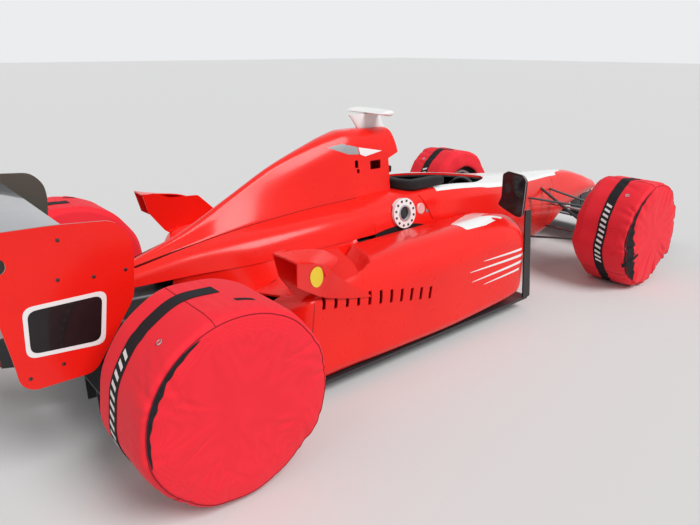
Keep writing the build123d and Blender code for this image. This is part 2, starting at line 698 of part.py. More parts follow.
# Wheels, each with rim, tyre and warmer turned about its axle
for end, axle_x, track, tyre_radius, tyre_width, axle_z in wheel_table:
    half = tyre_width / 2
    rim_half = half - rim_setback
    rim_in, rim_out = track - rim_half, track + rim_half
    bead = rim_bead_radius
    barrel = bead - rim_flange
    upright = kingpin_y if end == "front" else rear_upright_y
    disc_in = upright + knuckle_thickness / 2 + disc_offset
    disc_out = disc_in + disc_thickness
    face_in = track + rim_half * wheel_face_share
    face_out = face_in + wheel_disc_thickness
    shaft = spindle_radius + pin_gap if end == "front" else 0.0
    lip = bead + rim_lip
    step = rim_drop
    barrel_profile = [
        (rim_in, lip), (rim_in + rim_lip, lip), (rim_in + rim_lip, bead), (rim_in + step, bead),
        (rim_in + step + rim_flange, barrel), (rim_out - step - rim_flange, barrel), (rim_out - step, bead),
        (rim_out - rim_lip, bead), (rim_out - rim_lip, lip), (rim_out, lip), (rim_out, bead - rim_wall),
        (rim_out - step - 4, bead - rim_wall), (rim_out - step - rim_flange - 4, barrel - rim_wall),
        (rim_in + step + rim_flange + 4, barrel - rim_wall), (rim_in + step + 4, bead - rim_wall),
        (rim_in, bead - rim_wall),
    ]
    rim_core = barrel - rim_wall / 2
    face_profile = [
        (face_in, shaft), (face_in, hub_radius), (face_in + rim_dish, rim_core), (face_out + rim_dish, rim_core),
        (face_out, hub_radius), (face_out, nut_radius), (face_out + nut_height, nut_radius),
        (face_out + nut_height, shaft),
    ]
    disc_profile = [
        (disc_in, shaft), (disc_in, disc_radius), (disc_out, disc_radius), (disc_out, hub_radius),
        (face_in, hub_radius), (face_in, shaft),
    ]
    seat_r = bead + joint_gap
    seat_y = rim_half - rim_lip - joint_gap
    wall_r = tyre_radius * 0.78
    tyre_half = [
        (seat_y, seat_r), (seat_y, lip + joint_gap), (half, lip + 26), (half + tyre_bulge, wall_r),
        (half, tyre_radius - tyre_shoulder), (half - tyre_shoulder, tyre_radius),
    ]
    tyre_profile = [(track - y, r) for y, r in tyre_half] + [(track + y, r) for y, r in reversed(tyre_half)]
    cover = half + tyre_bulge + joint_gap
    outer = cover + warmer_end_wall
    tread = tyre_radius + joint_gap
    soft = warmer_shoulder
    warmer_profile = [
        (track - outer, warmer_mouth_radius), (track - outer, axle_z - soft),
        (track - outer + soft * 0.3, axle_z - soft * 0.3), (track - outer + soft, axle_z),
        (track + outer - soft, axle_z), (track + outer - soft * 0.3, axle_z - soft * 0.3),
        (track + outer, axle_z - soft), (track + outer, 0), (track + cover, 0),
        (track + cover, tread - tyre_shoulder), (track + half - tyre_shoulder * 0.5, tread),
        (track - half + tyre_shoulder * 0.5, tread), (track - cover, tread - tyre_shoulder),
        (track - cover, warmer_mouth_radius),
    ]
    for side, hand in ((-1, "right"), (1, "left")):
        with BuildPart() as rim:
            ring(barrel_profile, side, axle_x, axle_z)
            ring(face_profile, side, axle_x, axle_z)
            face_plane = Plane(origin=(axle_x, side * (face_in - 4), axle_z), x_dir=(1, 0, 0), z_dir=(0, side, 0))
            with BuildSketch(face_plane) as windows:
                with PolarLocations(spoke_circle, spoke_windows):
                    Ellipse(*[size / 2 for size in spoke_window])
            extrude(windows.sketch, amount=wheel_disc_thickness + rim_dish + 8, mode=Mode.SUBTRACT)
            ring(disc_profile, side, axle_x, axle_z)
            if end == "rear":
                journal_in = upright - knuckle_thickness / 2 - journal_lead
                rod((axle_x, side * journal_in, axle_z), (axle_x, side * disc_in, axle_z), journal_radius)
        save(rim.part, f"rim_{end}_{hand}")
        with BuildPart() as tyre:
            ring(tyre_profile, side, axle_x, axle_z)
        save(tyre.part, f"tyre_{end}_{hand}")
        with BuildPart() as warmer:
            ring(warmer_profile, side, axle_x, axle_z)
        save(warmer.part, f"warmer_{end}_{hand}")
        if end == "rear":
            inner_joint = gearbox_stations[2][1] + output_flange + joint_gap
            with BuildPart() as driveshaft:
                rod((axle_x, side * inner_joint, axle_z), (axle_x, side * journal_in, axle_z), shaft_radius)
                for start in (inner_joint, journal_in - shaft_joint_length):
                    rod((axle_x, side * start, axle_z), (axle_x, side * (start + shaft_joint_length), axle_z),
                        shaft_joint_radius)
            save(driveshaft.part, f"driveshaft_{hand}")

# Front knuckles: web, kingpin pins, spindle, steering arm with its pin, and caliper
web_half = ball_half - eye_height / 2 - running_gap
arm_top = rack_z - track_eye_height / 2 - running_gap - 2
for side, hand in ((-1, "right"), (1, "left")):
    _, axle_x, track, _, tyre_width, axle_z = wheel_table[1]
    centre = Vector(axle_x, side * kingpin_y, axle_z)
    disc_in = kingpin_y + knuckle_thickness / 2 + disc_offset
    nut_out = track + (tyre_width / 2 - rim_setback) * wheel_face_share + wheel_disc_thickness + nut_height
    with BuildPart() as knuckle:
        with BuildSketch(Plane.XY.offset(axle_z - web_half)) as web:
            with Locations((axle_x, side * kingpin_y)):
                Rectangle(knuckle_width, knuckle_thickness)
        extrude(web.sketch, amount=2 * web_half)
        pin_reach = Vector(0, 0, ball_half + eye_height / 2 + 4)
        rod(centre - pin_reach, centre + pin_reach, kingpin_radius)
        rod(centre, (axle_x, side * (nut_out - 6), axle_z), spindle_radius)
        with BuildSketch(Plane.XY.offset(arm_top - steer_arm_depth)) as arm:
            with Locations(((axle_x + rack_x) / 2, side * kingpin_y)):
                SlotCenterToCenter(steer_arm, steer_arm_width)
        extrude(arm.sketch, amount=steer_arm_depth)
        pin_foot = Vector(rack_x, side * kingpin_y, arm_top)
        rod(pin_foot, pin_foot + Vector(0, 0, 2 * running_gap + track_eye_height), track_pin_radius)
        caliper(disc_in, side, axle_x, axle_z, -1)
        with BuildSketch(Plane.XZ.offset(-side * (kingpin_y + knuckle_thickness / 2))) as bracket:
            with Locations((axle_x - caliper_foot, axle_z)):
                Rectangle(2 * caliper_foot - knuckle_width + 24, 60)
        extrude(bracket.sketch, amount=caliper_wall, dir=(0, -side, 0))
    save(knuckle.part, f"knuckle_{hand}")

# Rear uprights, bored for the hub journals, each with its caliper ahead of the axle
with BuildPart() as rear_uprights:
    for side in (-1, 1):
        half_x, half_z = rear_upright_half
        with BuildSketch(Plane.XZ.offset(-side * (rear_upright_y - knuckle_thickness / 2))) as block:
            with Locations((rear_axle_x, rear_axle_z)):
                RectangleRounded(2 * half_x, 2 * half_z, 18)
                Circle(journal_radius + pin_gap, mode=Mode.SUBTRACT)
        extrude(block.sketch, amount=knuckle_thickness, dir=(0, side, 0))
        disc_in = rear_upright_y + knuckle_thickness / 2 + disc_offset
        caliper(disc_in, side, rear_axle_x, rear_axle_z, 1)
        with BuildSketch(Plane.XZ.offset(-side * (rear_upright_y + knuckle_thickness / 2))) as bracket:
            with Locations((rear_axle_x + (half_x + caliper_foot + 12) / 2, rear_axle_z)):
                Rectangle(caliper_foot + 12 - half_x + 8, 60)
        extrude(bracket.sketch, amount=caliper_wall, dir=(0, -side, 0))
save(rear_uprights.part, "rear_uprights")


def gearbox_half_at(x):
    """Return the gearbox's half width at a station."""
    return station_at(gearbox_stations, x)[1]


# Rear suspension: two wishbones and a pushrod a side, from the gearbox to the upright
with BuildPart() as rear_suspension:
    for height, inner_z in ((rear_ball_half, rear_arm_z[0]), (-rear_ball_half, rear_arm_z[1])):
        for inner_x, outer_x in zip(rear_arm_x, (rear_axle_x - 14, rear_axle_x + 14)):
            blade((outer_x, -(rear_upright_y - knuckle_thickness / 3), rear_axle_z + height),
                  (inner_x, -(gearbox_half_at(inner_x) - 9), inner_z))
    rod((rear_axle_x + 22, -(rear_upright_y - 50), rear_axle_z - rear_ball_half + 6),
        (rear_pushrod_top[0], -(gearbox_half_at(rear_pushrod_top[0]) - 9), rear_pushrod_top[1]), pushrod_radius)
    add(rear_uprights.part, mode=Mode.SUBTRACT)
    add(gearbox.part, mode=Mode.SUBTRACT)
    mirror(rear_suspension.part, about=Plane.XZ)
save(rear_suspension.part, "rear_suspension")

# Headrest: a padded horseshoe round the back of the cockpit
with BuildPart() as headrest:
    (outer_half, inner_half), (rear_x, tip_x) = headrest_half, headrest_x
    shoe = [(rear_x, outer_half - 60), (rear_x + 60, outer_half), (tip_x, outer_half - 8), (tip_x, inner_half + 22),
            (rear_x + 120, inner_half), (rear_x + 80, inner_half - 70)]
    shoe += [(x, -half) for x, half in reversed(shoe)]
    extrude(outline(Plane.XY.offset(headrest_z[0]), shoe, 8), amount=headrest_z[1] - headrest_z[0])
save(headrest.part, "headrest")

# Fuel fillers: a bored ring on each shoulder of the tub
with BuildPart() as fuel_fillers:
    for side in (-1, 1):
        centre, normal = filler_seat(side)
        rod(centre - normal * filler_height, centre + normal * filler_height, filler_radius)
        rod(centre - normal * filler_height * 2, centre + normal * filler_height * 2, filler_bore, Mode.SUBTRACT)
    add(monocoque.part, mode=Mode.SUBTRACT)
save(fuel_fillers.part, "fuel_fillers")

# Camera pod: a raked post with a rounded bar across its top
with BuildPart() as camera_pod:
    sections = []
    for x, length, z in camera_post:
        with BuildSketch(Plane.XY.offset(z)) as post:
            with Locations((x, 0)):
                RectangleRounded(length, camera_post_width, camera_post_width * 0.45)
        sections.append(post.sketch)
    loft(sections)
    with BuildSketch(Plane.XZ) as bar:
        with Locations(camera_bar_at):
            Ellipse(*[size / 2 for size in camera_bar_section])
    extrude(bar.sketch, amount=camera_bar_half, both=True)
    add(engine_cover.part, mode=Mode.SUBTRACT)
save(camera_pod.part, "camera_pod")

# Mirrors on broad stems that stand on the pods, and the boards ahead of the inlets
with BuildPart() as mirrors:
    extrude(outline(Plane.YZ.offset(mirror_x), [(-y, z) for y, z in mirror_face], 9), amount=mirror_depth)
    stem = mirror_stem + [(y, pod_top_at(mirror_stem_x, y) - pod_wall / 2) for y in mirror_stem_foot]
    extrude(outline(Plane.YZ.offset(mirror_stem_x), [(-y, z) for y, z in stem]),
            amount=mirror_stem_thickness)
    add(right_pod.part, mode=Mode.SUBTRACT)
    mirror(mirrors.part, about=Plane.XZ)
save(mirrors.part, "mirrors")

with BuildPart() as bargeboards:
    for side in (-1, 1):
        plate(board_outline, side * board_y, board_thickness, 8)
save(bargeboards.part, "bargeboards")

# Seat: a folded shell with two side wings
with BuildPart() as seat:
    back_x, back_z = seat_back
    pan = [(back_x, back_z), (seat_heel_x, seat_floor_z), (seat_front_x, seat_floor_z),
           (seat_front_x, seat_floor_z + seat_shell), (seat_heel_x + 7, seat_floor_z + seat_shell),
           (back_x + seat_shell, back_z)]
    extrude(outline(Plane.XZ, pan), amount=seat_half, both=True)
    wing = [(back_x, back_z), (seat_heel_x, seat_floor_z), (seat_front_x, seat_floor_z),
            (seat_front_x, seat_floor_z + 110), seat_knee, (seat_wing_x, back_z)]
    for side in (-1, 1):
        plate(wing, side * (seat_half - seat_shell), seat_shell)
save(seat.part, "seat")
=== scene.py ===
"""Open wheel racing car parked in its tyre warmers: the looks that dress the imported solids.

Metres, in the car's own frame: +X forward, +Y to the driver's left, +Z up, and the origin on
the ground midway along the car. Every new piece is a surface worked out on a grid with numpy.
"""

from __future__ import annotations

import json
import logging
import math
from collections.abc import Sequence
from dataclasses import dataclass
from enum import Enum
from functools import cache

import bmesh
import bpy
import numpy as np
from mathutils import Matrix, Vector

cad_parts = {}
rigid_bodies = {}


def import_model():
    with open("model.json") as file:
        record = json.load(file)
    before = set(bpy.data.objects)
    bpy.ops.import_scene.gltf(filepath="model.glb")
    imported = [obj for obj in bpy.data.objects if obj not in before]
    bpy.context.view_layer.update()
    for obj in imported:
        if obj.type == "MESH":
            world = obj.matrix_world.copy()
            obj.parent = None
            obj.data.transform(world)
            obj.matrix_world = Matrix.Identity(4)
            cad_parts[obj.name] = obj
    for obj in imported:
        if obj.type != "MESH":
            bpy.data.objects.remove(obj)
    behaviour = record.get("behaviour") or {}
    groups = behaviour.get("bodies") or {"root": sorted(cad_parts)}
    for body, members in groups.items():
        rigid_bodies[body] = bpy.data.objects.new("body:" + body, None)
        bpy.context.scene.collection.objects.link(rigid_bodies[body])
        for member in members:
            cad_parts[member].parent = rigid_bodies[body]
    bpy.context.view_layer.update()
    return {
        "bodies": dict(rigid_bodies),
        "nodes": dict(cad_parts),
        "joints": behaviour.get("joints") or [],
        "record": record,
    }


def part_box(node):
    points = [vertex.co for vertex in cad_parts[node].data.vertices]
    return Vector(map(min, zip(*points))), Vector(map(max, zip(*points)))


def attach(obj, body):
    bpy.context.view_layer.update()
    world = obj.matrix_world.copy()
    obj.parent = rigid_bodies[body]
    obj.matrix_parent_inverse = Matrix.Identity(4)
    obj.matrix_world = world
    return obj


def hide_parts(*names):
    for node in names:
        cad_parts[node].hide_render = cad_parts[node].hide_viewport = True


LOG = logging.getLogger("racing_car")
SEED = 7
TINY = 1e-12
MERGE = 2e-6
Colour = tuple[float, float, float]
Chain = tuple[tuple[float, ...], ...]
Node, Socket, Tree = bpy.types.Node, bpy.types.NodeSocket, bpy.types.NodeTree


class Side(Enum):
    """Side of the car, whose value is the sign of its Y."""

    RIGHT = -1
    LEFT = 1

    @property
    def word(self) -> str:
        """The side's name in lower case, as the nodes use it."""
        return self.name.lower()


class End(Enum):
    """End of the car."""

    REAR = "rear"
    FRONT = "front"


class Weave(Enum):
    """How a woven finish shows its threads."""

    PLAIN = 0.0
    TWILL = 1.0


# ---------------------------------------------------------------- surfaces


@dataclass(frozen=True)
class Patch:
    """A grid of points that becomes part of a mesh.

    Attributes:
        points: rows x columns x 3 array of places.
        wrap_rows: the last row joins the first.
        wrap_columns: the last column joins the first.
        inner_from: first row that takes the piece's second finish.
    """

    points: np.ndarray
    wrap_rows: bool = False
    wrap_columns: bool = False
    inner_from: int | None = None

    def faces(self) -> np.ndarray:
        """Return one quad per grid cell, as rows of four vertex numbers."""
        rows, columns = self.points.shape[:2]
        i = np.arange(rows if self.wrap_rows else rows - 1)[:, None]
        j = np.arange(columns if self.wrap_columns else columns - 1)[None, :]
        next_i, next_j = (i + 1) % rows, (j + 1) % columns
        quads = [i * columns + j, next_i * columns + j, next_i * columns + next_j, i * columns + next_j]
        return np.stack(np.broadcast_arrays(*quads), -1).reshape(-1, 4)

    def slots(self) -> np.ndarray:
        """Return each face's finish number: 0 outside and 1 from the inner row on."""
        rows, columns = self.points.shape[:2]
        per_row = columns if self.wrap_columns else columns - 1
        row = np.repeat(np.arange(rows if self.wrap_rows else rows - 1), per_row)
        return (row >= (rows if self.inner_from is None else self.inner_from)).astype(np.int32)


@dataclass(frozen=True)
class StationTable:
    """Sizes of a body's cross-section at stations along X, joined by smooth curves.

    Attributes:
        rows: for each station its x, then the sizes there.
    """

    rows: Chain

    @property
    def ends(self) -> tuple[float, float]:
        """The x of the first and the last station."""
        return self.rows[0][0], self.rows[-1][0]

    def at(self, x: np.ndarray) -> np.ndarray:
        """Return the sizes at each x.

        Each column is a chain of cubic Hermite pieces. A knot's slope is the weighted harmonic
        mean of its neighbours' slopes, and zero at a turning point, so nothing overshoots.

        Args:
            x: places along the car, any shape.

        Returns:
            Array of the shape of x with one more axis, the table's columns.
        """
        table = np.array(sorted(self.rows), float)
        knots, values = table[:, 0], table[:, 1:]
        gap = np.diff(knots)[:, None]
        slope = np.diff(values, axis=0) / gap
        tangent = np.zeros_like(values)
        tangent[0], tangent[-1] = slope[0], slope[-1]
        w1, w2 = 2 * gap[1:] + gap[:-1], gap[1:] + 2 * gap[:-1]
        same = slope[:-1] * slope[1:] > 1e-12
        low, high = np.where(same, slope[:-1], 1.0), np.where(same, slope[1:], 1.0)
        tangent[1:-1] = np.where(same, (w1 + w2) / (w1 / low + w2 / high), 0.0)
        x = np.asarray(x, float)
        i = np.clip(np.searchsorted(knots, x) - 1, 0, len(knots) - 2)
        h = gap[i]
        t = (x[..., None] - knots[i][..., None]) / h
        t2, t3 = t * t, t * t * t
        return (
            (2 * t3 - 3 * t2 + 1) * values[i]
            + (t3 - 2 * t2 + t) * h * tangent[i]
            + (3 * t2 - 2 * t3) * values[i + 1]
            + (t3 - t2) * h * tangent[i + 1]
        )


def grid_of(x: np.ndarray, y: np.ndarray, z: np.ndarray) -> np.ndarray:
    """Return grid points from three coordinates that broadcast to one shape."""
    return np.stack(np.broadcast_arrays(x, y, z), -1)


def upright(ring: np.ndarray, y: float) -> np.ndarray:
    """Stand places in X and Z at one distance from the car's middle plane."""
    return grid_of(ring[..., 0], y, ring[..., 1])


def shrunk(ring: np.ndarray, shares: np.ndarray) -> np.ndarray:
    """Return copies of a ring drawn towards its middle, one for each share of its size."""
    middle = ring.mean(0)
    return middle + (ring - middle)[None] * shares[:, None, None]


def shares_by(rows: int, columns: int, low: float, high: float) -> tuple[np.ndarray, np.ndarray]:
    """Return shares from 0 to 1 as a column and values from low to high as a row."""
    return np.linspace(0, 1, rows)[:, None], np.linspace(low, high, columns)[None, :]


def bell(share: np.ndarray) -> np.ndarray:
    """Return a bell curve: one at zero, and under two hundredths beyond two."""
    return np.exp(-(share**2))


def unit(vectors: np.ndarray) -> np.ndarray:
    """Return vectors brought to length one."""
    return vectors / (np.linalg.norm(vectors, axis=-1, keepdims=True) + TINY)


def rounded_path(corners: np.ndarray, radii: Sequence[float], arc: int = 7, run: int = 4) -> np.ndarray:
    """Round the inner corners of many open paths at once.

    A corner is a quadratic curve from one radius before it to one radius after it, and the
    straight runs between are divided evenly. A radius is held to half of its shorter run.

    Args:
        corners: n x k x 2 corners of n paths.
        radii: one radius for each of the k - 2 inner corners.
        arc: points on a rounded corner.
        run: points inside a straight run.

    Returns:
        n x m x 2 points.
    """
    share = np.linspace(0, 1, run + 2)[None, 1:-1, None]
    s = np.linspace(0, 1, arc)[None, :, None]
    parts, last = [corners[:, :1]], corners[:, 0]
    for i, radius in enumerate(radii, start=1):
        back, ahead = corners[:, i - 1] - corners[:, i], corners[:, i + 1] - corners[:, i]
        length_back = np.linalg.norm(back, axis=1, keepdims=True) + 1e-9
        length_ahead = np.linalg.norm(ahead, axis=1, keepdims=True) + 1e-9
        reach = np.minimum(radius, 0.48 * np.minimum(length_back, length_ahead))
        start = corners[:, i] + back / length_back * reach
        end = corners[:, i] + ahead / length_ahead * reach
        parts.append(last[:, None] + (start - last)[:, None] * share)
        parts.append(
            (1 - s) ** 2 * start[:, None] + 2 * s * (1 - s) * corners[:, i : i + 1] + s**2 * end[:, None]
        )
        last = end
    parts.append(last[:, None] + (corners[:, -1] - last)[:, None] * share)
    parts.append(corners[:, -1:])
    return np.concatenate(parts, axis=1)


def runs_of(spans: Chain) -> np.ndarray:
    """Return sorted places without doubles from spans of start, stop and count."""
    return np.unique(np.concatenate([np.linspace(start, stop, int(count)) for start, stop, count in spans]))


def along_x(x: np.ndarray, sections: np.ndarray) -> np.ndarray:
    """Return grid points from n places along X and n x m x 2 sections in Y and Z."""
    return grid_of(x[:, None], sections[..., 0], sections[..., 1])


def grid_normals(points: np.ndarray, wrap_columns: bool = False) -> np.ndarray:
    """Return unit normals of a grid: the cross product of its row and column directions."""
    du = np.gradient(points, axis=0)
    if wrap_columns:
        dv = np.roll(points, -1, axis=1) - np.roll(points, 1, axis=1)
    else:
        dv = np.gradient(points, axis=1)
    return unit(np.cross(du, dv))


def thick(points: np.ndarray, wall: float, wrap_columns: bool = False, lip: float = 0.5) -> Patch:
    """Turn an outer skin into a closed wall.

    The inner skin lies one wall in, along the normals. Rows run over the outer skin, round a
    lip that stands out by a share of the wall, and back along the inner skin.

    Args:
        points: rows x columns x 3 outer skin, whose normals point outwards.
        wall: thickness.
        wrap_columns: the sections are closed rings.
        lip: how far the end lips stand out, in walls.

    Returns:
        The closed wall, its inner skin marked for the second finish.
    """
    inner = points - grid_normals(points, wrap_columns) * wall
    middle = (points + inner) / 2
    front = middle[-1] + unit(points[-1] - points[-2]) * wall * lip
    rear = middle[0] + unit(points[0] - points[1]) * wall * lip
    loop = np.concatenate([points, front[None], inner[::-1], rear[None]], axis=0)
    if not wrap_columns:
        edge = np.concatenate([middle, front[None], middle[::-1], rear[None]], axis=0)
        loop = np.concatenate([edge[:, :1], loop, edge[:, -1:]], axis=1)
    return Patch(loop, wrap_rows=True, wrap_columns=wrap_columns, inner_from=len(points))


def capped(points: np.ndarray) -> Patch:
    """Close a grid of rings at both ends by shrinking an extra row to each ring's middle."""
    first, last = (shrunk(ring, np.zeros(1)) for ring in (points[0], points[-1]))
    return Patch(np.concatenate([first, points, last], axis=0), wrap_columns=True)


def frames_along(path: np.ndarray, up: np.ndarray) -> tuple[np.ndarray, np.ndarray]:
    """Return unit side and upper directions at each point of a path, square to it."""
    run = unit(np.gradient(path, axis=0))
    side = unit(np.cross(run, np.broadcast_to(up, path.shape)))
    return side, np.cross(side, run)


def tube(
    path: np.ndarray,
    radius: float | np.ndarray,
    up: Sequence[float] = (0, 0, 1),
    sides: int = 12,
    flat: float = 1.0,
    power: float = 2.0,
) -> Patch:
    """Carry a superellipse along a path.

    A point is the path plus side times cos and up times sin of an angle, each raised to two
    over the power, so 2 is round and more is squarer.

    Args:
        path: n x 3 points.
        radius: half width, one number or one a point.
        up: a direction the section's upper side keeps towards, or n x 3 of them.
        sides: points round the section.
        flat: height over width.
        power: the superellipse's power.

    Returns:
        A closed tube with capped ends.
    """
    side, upper = frames_along(path, np.asarray(up, float))
    angle = np.linspace(0, 2 * math.pi, sides, endpoint=False)
    c, s = (np.sign(wave) * np.abs(wave) ** (2 / power) for wave in (np.cos(angle), np.sin(angle)))
    reach = np.broadcast_to(np.asarray(radius, float), (len(path),))[:, None, None]
    around = c[None, :, None] * side[:, None] + flat * s[None, :, None] * upper[:, None]
    return capped(path[:, None] + reach * around)


def lathe(profile: Chain, centre: Sequence[float], axis: Sequence[float], segments: int = 32) -> Patch:
    """Turn a profile about an axis.

    A point is the centre, plus its distance along the axis, plus its radius times the cosine
    and sine of the angle in the two square directions.

    Args:
        profile: k x 2 of distance along the axis and radius.
        centre: where distance is zero.
        axis: direction of the axis.
        segments: steps round the axis.

    Returns:
        The turned surface, open where its ends have a radius.
    """
    z = np.asarray(axis, float) / np.linalg.norm(axis)
    x = np.cross(z, (0, 0, 1) if abs(z[2]) < 0.9 else (1, 0, 0))
    x /= np.linalg.norm(x)
    y = np.cross(z, x)
    angle = np.linspace(0, 2 * math.pi, segments, endpoint=False)
    spoke = np.cos(angle)[:, None] * x + np.sin(angle)[:, None] * y
    distance, radius = np.asarray(profile, float).T[:, :, None, None]
    return Patch(np.asarray(centre, float) + distance * z + radius * spoke[None], wrap_columns=True)


def slab(outline: np.ndarray, normal: Sequence[float], thickness: float, rings: int = 2) -> Patch:
    """Return a thin plate: rings from an outline's middle to its rim, over the edge and back.

    Args:
        outline: k x 3 rim points in order.
        normal: the direction the face looks.
        thickness: the plate's, laid behind the face.
        rings: rings of faces between the middle and the rim.

    Returns:
        The closed plate.
    """
    face = shrunk(outline, np.linspace(0, 1, rings + 1))
    back = face - np.asarray(normal, float) * thickness
    return Patch(np.concatenate([face, back[::-1]], axis=0), wrap_columns=True)


def filled_corners(corners: Sequence[Sequence[float]], radius: float, arc: int = 6) -> np.ndarray:
    """Return a closed two-dimensional outline whose corners are rounded by one radius."""
    ring = np.array(corners, float)
    start = (ring[-1] + ring[0]) / 2
    loop = np.concatenate([start[None], ring, start[None]])[None]
    return rounded_path(loop, [radius] * len(ring), arc=arc, run=1)[0][:-1]


def linked(name: str, data: bpy.types.ID) -> bpy.types.Object:
    """Return a new object with its data, put in the scene."""
    made = bpy.data.objects.new(name, data)
    bpy.context.scene.collection.objects.link(made)
    return made


def joined(name: str, patches: Sequence[Patch]) -> bpy.types.Mesh:
    """Return one mesh from grids, with doubled points merged and its faces turned outwards."""
    points = np.concatenate([p.points.reshape(-1, 3) for p in patches])
    starts = np.cumsum([0] + [p.points.shape[0] * p.points.shape[1] for p in patches[:-1]])
    faces = np.concatenate([p.faces() + start for p, start in zip(patches, starts)])
    mesh = bpy.data.meshes.new(name)
    mesh.from_pydata(points.tolist(), [], faces.tolist())
    mesh.polygons.foreach_set("material_index", np.concatenate([p.slots() for p in patches]))
    shape = bmesh.new()
    shape.from_mesh(mesh)
    bmesh.ops.remove_doubles(shape, verts=shape.verts, dist=MERGE)
    bmesh.ops.dissolve_degenerate(shape, edges=shape.edges, dist=MERGE / 2)
    bmesh.ops.recalc_face_normals(shape, faces=shape.faces)
    shape.to_mesh(mesh)
    shape.free()
    return mesh


def make_piece(
    name: str,
    patches: Sequence[Patch],
    finishes: Sequence["Finish"],
    replaces: Sequence[str] = (),
    body: str = "chassis",
    crease: float = 40.0,
) -> bpy.types.Object:
    """Build one piece from grids and fasten it to a body.

    Args:
        name: the piece's name.
        patches: grids that make up its mesh.
        finishes: its outer finish, then its inner one if it has one.
        replaces: nodes that it stands for.
        body: the body that it rides on.
        crease: edges that turn by more than this many degrees stay sharp.

    Returns:
        The finished object.
    """
    mesh = joined(name, patches)
    mesh.polygons.foreach_set("use_smooth", np.ones(len(mesh.polygons), bool))
    mesh.set_sharp_from_angle(angle=math.radians(crease))
    for finish in finishes:
        mesh.materials.append(finish.material())
    piece = linked(name, mesh)
    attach(piece, body)
    if replaces:
        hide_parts(*replaces)
    LOG.info("%s: %d faces on %s", name, len(mesh.polygons), body)
    return piece


def cut_away(piece: bpy.types.Object, cutters: Sequence[Patch]) -> None:
    """Cut closed shapes out of a piece for good."""
    tool = linked("cutter", joined("cutter", cutters))
    step = piece.modifiers.new("cut", "BOOLEAN")
    step.operation, step.solver, step.object = "DIFFERENCE", "EXACT", tool
    settle(piece)
    bpy.data.objects.remove(tool)


def settle(piece: bpy.types.Object) -> None:
    """Make a piece's modifiers part of its mesh."""
    bpy.context.view_layer.update()
    evaluated = piece.evaluated_get(bpy.context.evaluated_depsgraph_get())
    mesh = bpy.data.meshes.new_from_object(evaluated)
    piece.modifiers.clear()
    piece.data = mesh
    mesh.set_sharp_from_angle(angle=math.radians(40))


def lay_on(
    piece: bpy.types.Object, target: bpy.types.Object, axis: str, lift: float, thickness: float = 0.0
) -> None:
    """Press a thin sheet onto a surface along an axis, and give it its thickness.

    Args:
        piece: the open sheet, drawn clear of the surface.
        target: the piece that it lies on.
        axis: "x", "y" or "z", the direction it is pressed along, both ways.
        lift: its clearance from the surface.
        thickness: the sheet's.
    """
    wrap = piece.modifiers.new("lay", "SHRINKWRAP")
    wrap.target, wrap.wrap_method, wrap.offset = target, "PROJECT", lift
    wrap.wrap_mode = "ABOVE_SURFACE"
    wrap.use_negative_direction = wrap.use_positive_direction = True
    setattr(wrap, f"use_project_{axis}", True)
    if thickness:
        solid = piece.modifiers.new("body", "SOLIDIFY")
        solid.thickness, solid.offset = thickness, 0.0
    settle(piece)


# ---------------------------------------------------------------- finishes


